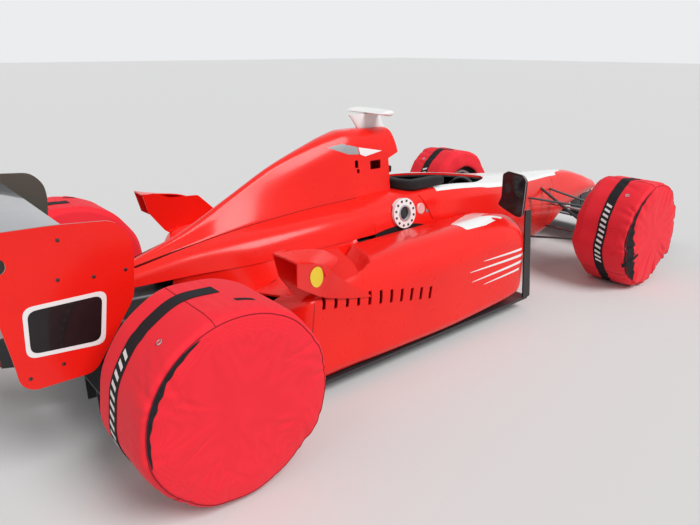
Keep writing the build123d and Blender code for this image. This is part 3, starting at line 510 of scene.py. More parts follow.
class Groups:
    """Shader node groups that the finishes share, each built once."""

    @staticmethod
    def _start(name: str, inputs: dict[str, float]) -> tuple[Tree, Node, Node, Node]:
        """Open a new group with two colours, a roughness, a relief and inputs of its own.

        Args:
            name: the group's name.
            inputs: default values of the number inputs, by name.

        Returns:
            The tree, its input node, its output node and a node with the object coordinates.
        """
        tree = bpy.data.node_groups.new(name, "ShaderNodeTree")
        for label in ("Colour", "Tint"):
            tree.interface.new_socket(label, in_out="INPUT", socket_type="NodeSocketColor")
        for label, value in {"Roughness": 0.5, "Relief": 0.1, **inputs}.items():
            socket = tree.interface.new_socket(label, in_out="INPUT", socket_type="NodeSocketFloat")
            socket.default_value = value
        for label, kind in (("Colour", "Color"), ("Roughness", "Float"), ("Normal", "Vector")):
            tree.interface.new_socket(label, in_out="OUTPUT", socket_type=f"NodeSocket{kind}")
        kinds = ("NodeGroupInput", "NodeGroupOutput", "ShaderNodeTexCoord")
        return tree, *(tree.nodes.new(kind) for kind in kinds)

    @staticmethod
    def _math(tree: Tree, operation: str, *values: Socket | float, clamp: bool = False) -> Socket:
        """Add a Math node whose inputs are sockets or numbers and return its output."""
        node = tree.nodes.new("ShaderNodeMath")
        node.operation, node.use_clamp = operation, clamp
        for socket, value in zip(node.inputs, values):
            if isinstance(value, Socket):
                tree.links.new(value, socket)
            else:
                socket.default_value = value
        return node.outputs[0]

    @staticmethod
    def _noise(tree: Tree, place: Node, scale: Socket, detail: float) -> Socket:
        """Add a noise texture on the object coordinates and return its output."""
        node = tree.nodes.new("ShaderNodeTexNoise")
        node.inputs["Detail"].default_value = detail
        tree.links.new(place.outputs["Object"], node.inputs["Vector"])
        tree.links.new(scale, node.inputs["Scale"])
        return node.outputs["Fac"]

    @staticmethod
    def _close(
        tree: Tree, enter: Node, leave: Node, share: Socket, rough: Socket, height: Socket, distance: float
    ) -> Tree:
        """Mix the two colours by a share, raise the relief and fill the group's outputs."""
        mix, bump = tree.nodes.new("ShaderNodeMix"), tree.nodes.new("ShaderNodeBump")
        mix.data_type = "RGBA"
        bump.inputs["Distance"].default_value = distance
        for source, socket in (
            (share, mix.inputs["Factor"]),
            (enter.outputs["Colour"], mix.inputs["A"]),
            (enter.outputs["Tint"], mix.inputs["B"]),
            (enter.outputs["Relief"], bump.inputs["Strength"]),
            (height, bump.inputs["Height"]),
            (mix.outputs["Result"], leave.inputs["Colour"]),
            (rough, leave.inputs["Roughness"]),
            (bump.outputs["Normal"], leave.inputs["Normal"]),
        ):
            tree.links.new(source, socket)
        return tree

    @classmethod
    @cache
    def mottle(cls) -> Tree:
        """Uneven colour, gloss and a fine relief, for paint, plastic, rubber and metal."""
        tree, enter, leave, place = cls._start(
            "mottle", {"Patches": 6.0, "Amount": 0.2, "Spread": 0.1, "Grain": 400.0})
        get = enter.outputs
        broad = cls._noise(tree, place, get["Patches"], 5.0)
        fine = cls._noise(tree, place, get["Grain"], 2.0)
        smear = cls._noise(tree, place, cls._math(tree, "MULTIPLY", get["Patches"], 5.3), 6.0)
        mask = cls._math(tree, "MULTIPLY_ADD", broad, 2.6, -0.9, clamp=True)
        share = cls._math(tree, "MULTIPLY", mask, get["Amount"])
        centred = cls._math(tree, "SUBTRACT", smear, 0.5)
        shift = cls._math(tree, "MULTIPLY", centred, get["Spread"])
        rough = cls._math(tree, "ADD", get["Roughness"], shift, clamp=True)
        return cls._close(tree, enter, leave, share, rough, fine, 0.0006)

    @classmethod
    @cache
    def threads(cls) -> Tree:
        """Crossing threads over the three object axes, plain or in a diagonal twill."""
        tree, enter, leave, place = cls._start(
            "threads",
            {"Thread": 0.001, "Twill": 0.0, "Contrast": 0.4, "Crumple": 18.0, "Creases": 0.3})
        get = enter.outputs
        split = tree.nodes.new("ShaderNodeSeparateXYZ")
        tree.links.new(place.outputs["Object"], split.inputs[0])
        count = cls._math(tree, "DIVIDE", 2 * math.pi, get["Thread"])
        lean = cls._math(tree, "MULTIPLY", split.outputs["Z"], get["Twill"])
        along = [cls._math(tree, "ADD", split.outputs[axis], lean) for axis in ("X", "Y")]
        along.append(split.outputs["Z"])
        waves = [cls._math(tree, "SINE", cls._math(tree, "MULTIPLY", a, count)) for a in along]
        total = cls._math(tree, "ADD", cls._math(tree, "ADD", waves[0], waves[1]), waves[2])
        level = cls._math(tree, "MULTIPLY_ADD", total, 1 / 6, 0.5, clamp=True)
        crumple = cls._noise(tree, place, get["Crumple"], 4.0)
        share = cls._math(tree, "MULTIPLY", level, get["Contrast"])
        raised = cls._math(tree, "MULTIPLY", level, 0.12)
        height = cls._math(tree, "ADD", raised, cls._math(tree, "MULTIPLY", crumple, get["Creases"]))
        rough = cls._math(tree, "ADD", get["Roughness"], raised, clamp=True)
        return cls._close(tree, enter, leave, share, rough, height, 0.004)


@dataclass(frozen=True)
class Finish:
    """What every finish has: a name, a colour and a shader of its own.

    Attributes:
        name: the material's name.
        colour: main colour, linear.
        tint: colour of its uneven patches or threads.
        roughness: of the surface.
        metallic: 1 for bare metal.
        coat: strength of a clear coat.
        sheen: strength of a fabric's sheen.
        specular: strength of the plain reflection under the coat.
        coat_rough: roughness of the coat.
    """

    name: str
    colour: Colour
    tint: Colour
    roughness: float = 0.4
    metallic: float = 0.0
    coat: float = 0.0
    sheen: float = 0.0
    specular: float = 0.5
    coat_rough: float = 0.05

    def _effect(self) -> tuple[Tree, dict[str, float]]:
        """Return the shared group and the values that only this kind of finish has."""
        raise NotImplementedError

    def material(self) -> bpy.types.Material:
        """Return the finish's material, built the first time."""
        found = bpy.data.materials.get(self.name)
        if found:
            return found
        made = bpy.data.materials.new(self.name)
        made.use_nodes = True
        tree = made.node_tree
        tree.nodes.clear()
        kinds = ("ShaderNodeBsdfPrincipled", "ShaderNodeOutputMaterial", "ShaderNodeGroup")
        shader, out, node = (tree.nodes.new(kind) for kind in kinds)
        tree.links.new(shader.outputs["BSDF"], out.inputs["Surface"])
        node.node_tree, own = self._effect()
        both = {"Colour": (*self.colour, 1), "Tint": (*self.tint, 1), "Roughness": self.roughness}
        for label, value in (both | own).items():
            node.inputs[label].default_value = value
        for label, socket in (("Colour", "Base Color"), ("Roughness",) * 2, ("Normal",) * 2):
            tree.links.new(node.outputs[label], shader.inputs[socket])
        for socket, value in (
            ("Metallic", self.metallic), ("Coat Weight", self.coat), ("Coat Roughness", self.coat_rough),
            ("Specular IOR Level", self.specular), ("Sheen Weight", self.sheen), ("Sheen Roughness", 0.5),
        ):
            shader.inputs[socket].default_value = value
        made.diffuse_color = (*self.colour, 1)
        return made


@dataclass(frozen=True)
class Mottled(Finish):
    """Paint, plastic, rubber or metal.

    Attributes:
        patches: uneven patches a metre.
        amount: how far the tint comes through.
        spread: how much the roughness varies.
        grain: fine relief cells a metre.
        relief: strength of that relief.
    """

    patches: float = 6.0
    amount: float = 0.25
    spread: float = 0.1
    grain: float = 400.0
    relief: float = 0.05

    def _effect(self) -> tuple[Tree, dict[str, float]]:
        """Return the mottle group and this finish's own values."""
        return Groups.mottle(), {
            "Patches": self.patches, "Amount": self.amount, "Spread": self.spread,
            "Grain": self.grain, "Relief": self.relief,
        }


@dataclass(frozen=True)
class Woven(Finish):
    """Cloth, webbing or a carbon lay-up.

    Attributes:
        thread: width of one thread.
        weave: plain or twill.
        contrast: how far the threads' shade shows.
        crumple: folds a metre.
        creases: their depth.
        relief: strength of the relief.
    """

    thread: float = 0.001
    weave: Weave = Weave.PLAIN
    contrast: float = 0.35
    crumple: float = 18.0
    creases: float = 0.3
    relief: float = 0.3

    def _effect(self) -> tuple[Tree, dict[str, float]]:
        """Return the threads group and this finish's own values."""
        return Groups.threads(), {
            "Thread": self.thread, "Twill": self.weave.value, "Contrast": self.contrast,
            "Crumple": self.crumple, "Creases": self.creases, "Relief": self.relief,
        }


RED = Mottled("red_body_paint", (0.82, 0.012, 0.006), (0.68, 0.008, 0.007), 0.29, coat=0.30, specular=0.18,
              coat_rough=0.16, patches=3.0, amount=0.5, spread=0.12, grain=900.0, relief=0.03)
WHITE = Mottled("white_body_paint", (0.80, 0.80, 0.79), (0.66, 0.68, 0.72), 0.25, coat=0.5, specular=0.3,
                patches=7.0, amount=0.35, spread=0.1, grain=900.0, relief=0.03)
GREY_PAINT = Mottled("grey_wing_paint", (0.10, 0.115, 0.14), (0.06, 0.066, 0.08), 0.2, coat=1.0,
                     patches=5.0, amount=0.5, spread=0.16, grain=700.0, relief=0.03)
# Silver print on the airbox; along the mirror rim it is a painted highlight.
SILVER_INK_AND_HIGHLIGHT = Mottled("silver_ink", (0.30, 0.32, 0.33), (0.20, 0.21, 0.23), 0.35, patches=12.0, amount=0.4,
                     specular=0.3)
BLACK_INK = Mottled("black_ink", (0.006, 0.006, 0.007), (0.014, 0.013, 0.014), 0.3, coat=0.25, specular=0.3,
                    patches=9.0, amount=0.5)
YELLOW_INK = Mottled("yellow_ink", (0.86, 0.66, 0.02), (0.75, 0.52, 0.02), 0.35, coat=0.2, specular=0.3,
                     patches=20.0)
PINK_INK = Mottled("magenta_ink", (0.58, 0.03, 0.16), (0.45, 0.02, 0.14), 0.3, coat=0.3, patches=12.0)
CARBON = Woven("carbon_lay_up", (0.013, 0.014, 0.016), (0.040, 0.042, 0.047), 0.34, coat=0.3, specular=0.3,
               thread=0.004, weave=Weave.TWILL, contrast=0.9, crumple=3.0, creases=0.02, relief=0.08)
OLIVE_CARBON = Woven("bare_carbon_panel", (0.055, 0.055, 0.045), (0.10, 0.10, 0.085), 0.3, coat=0.6,
                     thread=0.004, weave=Weave.TWILL, contrast=0.6, crumple=3.0, creases=0.02, relief=0.05)
# Near-black inside of ducts and shells; as the sheet between cell and pod it is painted shadow.
DUCT_BLACK_AND_GAP_SHADE = Mottled("dark_duct", (0.008, 0.007, 0.007), (0.018, 0.012, 0.012), 0.7, patches=9.0, specular=0.2)
ALLOY = Mottled("cast_alloy", (0.60, 0.61, 0.63), (0.42, 0.43, 0.45), 0.34, metallic=1.0,
                patches=14.0, amount=0.5, spread=0.3, grain=1500.0, relief=0.15)
STEEL = Mottled("bare_steel", (0.46, 0.46, 0.47), (0.30, 0.29, 0.29), 0.28, metallic=1.0,
                patches=20.0, amount=0.5, spread=0.3, grain=1800.0, relief=0.1)
DARK_STEEL = Mottled("dark_screws", (0.10, 0.09, 0.09), (0.06, 0.05, 0.05), 0.35, metallic=1.0,
                     patches=60.0, amount=0.5, spread=0.2, grain=1800.0, relief=0.1)
CASTING = Mottled("dark_casting", (0.075, 0.077, 0.08), (0.04, 0.04, 0.043), 0.45, metallic=0.6, specular=0.3,
                  patches=14.0, amount=0.5, spread=0.3, grain=1500.0, relief=0.15)
# Painted shade: the dark line along the bottom of the hood's crease.
SHADE = Mottled("groove_shade", (0.10, 0.004, 0.004), (0.07, 0.004, 0.004), 0.7, specular=0.1, patches=20.0)
BLUSH = Mottled("pale_cap_paint", (0.72, 0.40, 0.38), (0.62, 0.30, 0.29), 0.3, coat=0.3, patches=30.0)
RUBBER = Mottled("tyre_rubber", (0.020, 0.019, 0.019), (0.045, 0.042, 0.038), 0.78, specular=0.3,
                 patches=10.0, amount=0.6, spread=0.25, grain=900.0, relief=0.35)
CORE = Mottled("radiator_core", (0.16, 0.16, 0.17), (0.08, 0.08, 0.08), 0.5, metallic=0.7,
               patches=60.0, amount=0.6, grain=600.0, relief=0.6)
LAMP = Mottled("lamp_lens", (0.30, 0.01, 0.01), (0.18, 0.01, 0.01), 0.18, coat=1.0, patches=60.0)
# Dark glass for lenses, screen and sight glasses; on the mirrors its darkness is a painted reflection.
DARK_GLASS_AND_REFLECTION = Mottled("dark_glass", (0.012, 0.013, 0.015), (0.02, 0.022, 0.025), 0.06, coat=0.25, specular=0.3,
                patches=3.0)
QUILT = Woven("warmer_cloth", (0.84, 0.024, 0.040), (0.60, 0.012, 0.024), 0.62, sheen=0.06, specular=0.16,
              thread=0.0022, contrast=0.45, crumple=9.0, creases=0.9, relief=0.35)
PIPING = Woven("warmer_piping", (0.30, 0.008, 0.02), (0.18, 0.006, 0.015), 0.7, specular=0.2, thread=0.0016)
# Black webbing for bands, pocket and seams; in the warmers' slits and folds it is painted shade.
WEBBING_AND_SLIT_SHADE = Woven("black_webbing", (0.007, 0.007, 0.009), (0.018, 0.018, 0.021), 0.75, specular=0.22,
                thread=0.0026, contrast=0.7, crumple=20.0, creases=0.3, relief=0.4)
WHITE_CLOTH = Woven("white_cloth", (0.78, 0.78, 0.76), (0.60, 0.60, 0.60), 0.7, specular=0.2, thread=0.002,
                    contrast=0.5, crumple=30.0, creases=0.2)
LINING = Woven("warmer_lining", (0.07, 0.066, 0.07), (0.035, 0.035, 0.04), 0.8, specular=0.2, thread=0.003)
SUEDE = Mottled("black_suede", (0.010, 0.010, 0.011), (0.020, 0.020, 0.022), 0.85, sheen=0.08, specular=0.25,
                patches=40.0, amount=0.5, grain=1600.0, relief=0.5)
BELT = Woven("belt_webbing", (0.62, 0.016, 0.02), (0.40, 0.01, 0.012), 0.6, specular=0.25, thread=0.003,
             contrast=0.6, crumple=24.0, creases=0.2, relief=0.4)


# ---------------------------------------------------------------- bodywork


@dataclass
class Tub:
    """The driver's cell with its nose, one smooth surface that is open at the cockpit.

    Attributes:
        stations: x, then half width and z of top, shoulder, belt and bottom.
        cockpit: x and half width of the opening.
        radii: radius of each corner of a section.
        crown: how far the rim stands above the top's corner in the middle.
        spans: x from and to, and number, of the cell's sections.
        wall: thickness of the cell's wall.
        joint: x where the nose meets the cell.
        joint_gap: how far ahead of it the nose begins.
        rear_round: length over which the opening is rounded off at its rear end.
        front_round: the same at its front end.
        tip: how far the rounded tip stands out ahead of the nose.
        white_span: x between which the top is white.
        white_lift: how far the white stands off the top.
        oval: x, half length and half width of the blank oval on the nose.
        plates: x, size and thickness of the plates inside.
        skin: the cell's finished piece.
    """

    stations: StationTable = StationTable((
        (-0.470, 0.122, 0.690, 0.262, 0.640, 0.297, 0.430, 0.245, 0.076),
        (-0.110, 0.222, 0.690, 0.266, 0.640, 0.297, 0.430, 0.245, 0.076),
        (0.120, 0.236, 0.682, 0.264, 0.630, 0.296, 0.425, 0.243, 0.076),
        (0.420, 0.226, 0.652, 0.254, 0.600, 0.288, 0.410, 0.230, 0.077),
        (0.800, 0.178, 0.604, 0.206, 0.566, 0.238, 0.390, 0.192, 0.098),
        (1.150, 0.112, 0.578, 0.140, 0.544, 0.184, 0.372, 0.148, 0.138),
        (1.400, 0.068, 0.564, 0.096, 0.530, 0.146, 0.358, 0.112, 0.165),
        (1.680, 0.046, 0.536, 0.066, 0.506, 0.110, 0.390, 0.078, 0.272),
        (1.950, 0.032, 0.468, 0.048, 0.446, 0.084, 0.395, 0.056, 0.325),
        (2.120, 0.022, 0.408, 0.036, 0.396, 0.056, 0.374, 0.036, 0.342),
    ))
    cockpit: Chain = (
        (-0.108, 0.172), (0.060, 0.198), (0.380, 0.190), (0.560, 0.122), (0.690, 0.034),
    )
    radii: tuple[float, ...] = (0.05, 0.07, 0.12, 0.05, 0.03, 0.05, 0.12, 0.07, 0.05)
    crown: float = 0.010
    spans: Chain = ((-0.470, 1.3985, 78), (-0.112, -0.070, 14), (0.67, 0.70, 8))
    wall: float = 0.022
    joint: float = 1.400
    joint_gap: float = 0.0012
    rear_round: float = 0.030
    front_round: float = 0.020
    tip: float = 0.034
    white_span: tuple[float, float] = (0.010, 1.640)
    white_lift: float = 0.0012
    oval: tuple[float, float, float] = (1.045, 0.060, 0.042)
    plates: Chain = ((-0.120, 0.995, 0.012), (0.700, 0.99, 0.012), (1.370, 0.97, 0.02))
    skin: bpy.types.Object | None = None

    def rim(self, x: np.ndarray) -> np.ndarray:
        """Return the opening's half width: the plan's, rounded off by an ellipse at each end."""
        half = StationTable(self.cockpit).at(x)[..., 0]
        start, stop = self.cockpit[0][0], self.cockpit[-1][0] + 0.008
        rear = np.clip((x - start) / self.rear_round, 0, 1)
        front = np.clip((stop - x) / self.front_round, 0, 1)
        for share in (rear, front):
            half = half * np.sqrt(np.clip(1 - (1 - share) ** 2, 0, 1))
        return np.where((x > start) & (x < stop), half, 0.0)

    def sections(self, x: np.ndarray, rim: np.ndarray) -> np.ndarray:
        """Return sections from the left rim down, round the belly and up to the right rim."""
        top, z_top, shoulder, z_shoulder, belt, z_belt, bottom, z_bottom = self.stations.at(x).T
        z_rim = z_top + self.crown * (1 - (rim / 0.2) ** 2)
        half = [(rim, z_rim), (top, z_top), (shoulder, z_shoulder), (belt, z_belt), (bottom, z_bottom)]
        corners = [np.stack(c, -1) for c in half] + [np.stack((0 * x, z_bottom), -1)]
        corners += [np.stack((-y, z), -1) for y, z in reversed(half)]
        return rounded_path(np.stack(corners, 1), self.radii)

    def build(self) -> None:
        """Make the cell, the nose, the white panel on top and the plates inside."""
        x = runs_of(self.spans)
        outer = thick(along_x(x, self.sections(x, self.rim(x))), self.wall, lip=0.0)
        self.skin = make_piece("cell_skin", [outer], [RED, CARBON], ["monocoque"])
        x = np.linspace(self.joint + self.joint_gap, self.stations.ends[1], 34)
        nose = along_x(x, self.sections(x, 0 * x))
        ahead = np.sin(np.linspace(0, math.pi / 2, 9))[1:-1]
        tip = shrunk(nose[-1], np.sqrt(1 - ahead**2))
        tip[..., 0] += self.tip * ahead[:, None]
        nose = capped(np.concatenate([nose, tip]))
        make_piece("nose_skin", [nose], [RED], ["nose_cone"])
        self._white_panel()
        self._plates()

    def _white_panel(self) -> None:
        """Lay the white paint over the top facet, beside the cockpit and on to the nose."""
        x = np.linspace(*self.white_span, 96)
        x[0] += 1e-4
        path = along_x(x, self.sections(x, self.rim(x)))
        sheet = path + grid_normals(path) * self.white_lift
        ease = np.clip((x[-1] - x) / 0.16, 0, 1)[:, None, None] ** 0.5
        for word, half in (("left", sheet[:, :13]), ("right", sheet[:, -13:])):
            spine = half[:, :1] if word == "left" else half[:, -1:]
            narrowed = Patch(spine + (half - spine) * ease)
            make_piece(f"white_panel_{word}", [narrowed], [WHITE])
        middle, long, wide = self.oval
        x = np.linspace(middle - long, middle + long, 20)[:, None]
        across = np.sqrt(np.clip(1 - ((x - middle) / long) ** 2, 0, 1)) * np.linspace(-1, 1, 11) * wide
        top = self.stations.at(x[:, 0])[:, 1:2] + 0.0125
        make_piece("nose_oval", [Patch(grid_of(x, across, top))], [PINK_INK])

    def _plates(self) -> None:
        """Make the seat bulkhead, the dash and the front bulkhead inside the cell."""
        made = []
        for place, size, deep in self.plates:
            x = np.array([place, place + deep])
            section = self.sections(x, 0 * x)
            middle = section.mean(1, keepdims=True)
            section = middle + (section - middle) * size * 0.97
            if place == self.plates[1][0]:
                section[..., 1] = np.maximum(section[..., 1], 0.40)
            made.append(capped(along_x(x, section)))
        make_piece("cell_bulkheads", made, [CARBON])


@dataclass
class EngineCover:
    """The hood over the engine, with its spine, its airbox and a crease along each flank.

    Attributes:
        stations: x, then half width and z of top, flank, crease, shoulder and hem.
        wall: thickness of the hood.
        rear: x of the hood's rear end.
        front: z and x of the hood's front edge in side view, above the crease.
        foot: x where the flanks stop against the cell.
        groove: width and depth of the groove along the crease.
        groove_span: x between which the painted shade line runs along its bottom.
        groove_line: how far outward and upward that painted shade line lies, and its radius.
        wall_foot: x, half width and z of the foot of the wall under the hem.
        wall_top: how far inside and above the hem the wall begins, and its thickness.
        mouth: half width and z of the airbox mouth's bottom and top.
        holes: x from and to, then z from and to, of the holes in each flank.
        hole_reach: half widths between which a hole is cut.
        rows: rows of the spine's grid.
        skin: the spine's finished piece.
    """

    stations: StationTable = StationTable((
        (-1.640, 0.013, 0.553, 0.020, 0.548, 0.036, 0.541, 0.072, 0.520, 0.084, 0.480),
        (-1.380, 0.014, 0.642, 0.026, 0.626, 0.068, 0.605, 0.134, 0.578, 0.160, 0.498),
        (-1.120, 0.015, 0.771, 0.034, 0.736, 0.088, 0.646, 0.205, 0.614, 0.240, 0.512),
        (-0.900, 0.019, 0.880, 0.050, 0.812, 0.098, 0.666, 0.236, 0.630, 0.268, 0.525),
        (-0.720, 0.028, 0.948, 0.068, 0.880, 0.106, 0.679, 0.252, 0.640, 0.281, 0.526),
        (-0.560, 0.046, 0.999, 0.088, 0.920, 0.117, 0.686, 0.260, 0.641, 0.281, 0.526),
        (-0.470, 0.058, 1.015, 0.100, 0.934, 0.122, 0.690, 0.262, 0.640, 0.280, 0.526),
        (-0.165, 0.070, 1.012, 0.112, 0.930, 0.128, 0.690, 0.262, 0.640, 0.280, 0.526),
    ))
    wall: float = 0.006
    rear: float = -1.640
    foot: float = -0.4705
    groove: float = 0.013
    groove_span: tuple[float, float] = (-1.610, -0.240)
    groove_line: tuple[float, float, float] = (0.0022, 0.0036, 0.0044)
    wall_top: tuple[float, float, float] = (0.007, 0.004, 0.003)
    hole_reach: tuple[float, float] = (0.050, 0.170)
    wall_foot: StationTable = StationTable((
        (-1.480, 0.100, 0.440), (-1.345, 0.168, 0.330), (-1.250, 0.232, 0.375), (-1.130, 0.268, 0.405),
        (-1.060, 0.280, 0.434), (-0.880, 0.296, 0.428), (-0.640, 0.303, 0.440), (-0.600, 0.303, 0.508),
    ))
    front: Chain = (
        (0.690, -0.228), (0.872, -0.236), (0.886, -0.168), (1.000, -0.190), (1.015, -0.200),
    )
    mouth: Chain = ((0.092, 0.898), (0.062, 0.992))
    holes: Chain = (
        (-0.361, -0.291, 0.815, 0.860), (-0.461, -0.440, 0.833, 0.871), (-0.450, -0.434, 0.806, 0.827),
    )
    rows: int = 90
    skin: bpy.types.Object | None = None

    def _half(self, x: np.ndarray) -> list[tuple[np.ndarray, np.ndarray]]:
        """Return the corners from hem to top on one side as pairs of half width and z."""
        columns = self.stations.at(x).T
        return [(columns[i], columns[i + 1]) for i in (8, 6, 4, 2, 0)]

    def _upper(self, x: np.ndarray) -> np.ndarray:
        """Return sections from the right crease over the spine to the left crease."""
        half = [self._root(x)] + self._half(x)[2:]
        corners = [np.stack((-y, z), -1) for y, z in half]
        corners += [np.stack((y, z), -1) for y, z in reversed(half)]
        return rounded_path(np.stack(corners, 1), [0.012, 0.20, 0.05, 0.05, 0.20, 0.012], arc=9, run=6)

    def _root(self, x: np.ndarray) -> tuple[np.ndarray, np.ndarray]:
        """Return the bottom of the groove along the crease, which fades out at the rear."""
        (y, z), deep = self._half(x)[2], self.groove * np.clip((x - self.rear) / 0.3, 0, 1)
        return y + 0.3 * deep, z - deep

    def _lower(self, x: np.ndarray, side: Side) -> np.ndarray:
        """Return sections of one shoulder, so that the grid's normals point outwards."""
        hem, shoulder, (y, z) = self._half(x)[:3]
        half = [hem, shoulder, (y + self.groove, z - 0.2 * self.groove), self._root(x)]
        corners = np.stack([np.stack((side.value * y, z), -1) for y, z in half], 1)
        path = rounded_path(corners, [0.09, 0.012], arc=10, run=7)
        return path if side is Side.RIGHT else path[:, ::-1]

    def build(self) -> None:
        """Make the hood with its grooves and the painted shade along them, the walls under it, and the airbox.
        """
        fine = np.linspace(*self.stations.ends, 240)
        sheet = self._upper(fine)
        self._spine(fine, sheet)
        x = np.linspace(self.rear, self.foot, 60)
        halves = [thick(along_x(x, self._lower(x, side)), self.wall, lip=0.0) for side in Side]
        make_piece("hood_shoulders", halves, [RED, DUCT_BLACK_AND_GAP_SHADE], crease=32)
        self._walls()
        # A dark tube along the bottom of each groove: painted shade in the crease.
        x = np.linspace(*self.groove_span, 90)
        (y, z), (out, up, radius) = self._root(x), self.groove_line
        lines = [tube(grid_of(x, side.value * (y + out), z + up), radius, sides=6) for side in Side]
        make_piece("hood_grooves", lines, [SHADE])
        self._airbox(sheet[-1])

    def _spine(self, fine: np.ndarray, sheet: np.ndarray) -> None:
        """Make the hood above the crease, each column stretched to end at the front edge.

        Args:
            fine: places along X of finely spaced sections.
            sheet: those sections.
        """
        stop = np.interp(sheet[-1, :, 1], *np.array(self.front).T)
        x = self.rear + np.linspace(0, 1, self.rows)[:, None] * (stop[None] - self.rear)
        place = (x - fine[0]) / (fine[1] - fine[0])
        low = np.clip(place.astype(int), 0, len(fine) - 2)
        blend = (place - low)[..., None]
        column = np.broadcast_to(np.arange(sheet.shape[1]), low.shape)
        section = sheet[low, column] * (1 - blend) + sheet[low + 1, column] * blend
        upper = thick(grid_of(x, section[..., 0], section[..., 1]), self.wall)
        self.skin = make_piece(
            "hood_spine", [upper], [RED, DUCT_BLACK_AND_GAP_SHADE], ["engine_cover"], crease=32)
        cut_away(self.skin, [self._hole(side, *hole) for side in Side for hole in self.holes])

    def _walls(self) -> None:
        """Carry a thin wall from under the hem down to its foot on the pod."""
        x, share = np.linspace(*self.wall_foot.ends, 60), np.linspace(0, 1, 8)
        (y, z), foot, (inward, up, wall) = self._half(x)[0], self.wall_foot.at(x), self.wall_top
        across = (y - inward)[:, None] * (1 - share) + foot[:, :1] * share
        down = (z + up)[:, None] * (1 - share) + foot[:, 1:] * share
        walls = []
        for side in Side:
            sheet = grid_of(x[:, None], side.value * across, down)
            walls.append(thick(sheet if side is Side.LEFT else sheet[:, ::-1], wall))
        make_piece("hood_walls", walls, [RED, DUCT_BLACK_AND_GAP_SHADE])

    def _hole(self, side: Side, x0: float, x1: float, z0: float, z1: float) -> Patch:
        """Return a box with rounded corners, from inside the flank to well outside it."""
        ring = filled_corners([(x0, z0), (x1, z0), (x1, z1), (x0, z1)], 0.004, arc=3)
        return capped(np.stack([upright(ring, side.value * y) for y in self.hole_reach]))

    def _airbox(self, front_section: np.ndarray) -> None:
        """Close the front under the mouth and carry the throat back from the mouth's lip."""
        z = np.linspace(0.6905, 0.893, 12)
        right = front_section[: len(front_section) // 2]
        half = np.interp(z, right[:, 1], -right[:, 0]) - 0.004
        side = np.linspace(-1, 1, 15)[None]
        x = np.interp(z, *np.array(self.front).T)[:, None] - 0.006 - 0.012 * side**2
        face = grid_of(np.minimum(x, -0.238), half[:, None] * side, z[:, None])
        back = face - np.array((0.010, 0, 0))
        make_piece("airbox_front", [Patch(face), Patch(back)], [RED])
        (wide, low), (narrow, high) = self.mouth
        ring = filled_corners([(-wide, low), (-narrow, high), (narrow, high), (wide, low)], 0.018)
        back = np.linspace(0, 1, 9)
        throat = along_x(-0.180 - 0.30 * back, shrunk(ring, 1 - 0.12 * back))
        throat = np.concatenate([throat, shrunk(throat[-1], np.zeros(1))])
        make_piece("airbox_throat", [Patch(throat, wrap_columns=True)], [DUCT_BLACK_AND_GAP_SHADE])


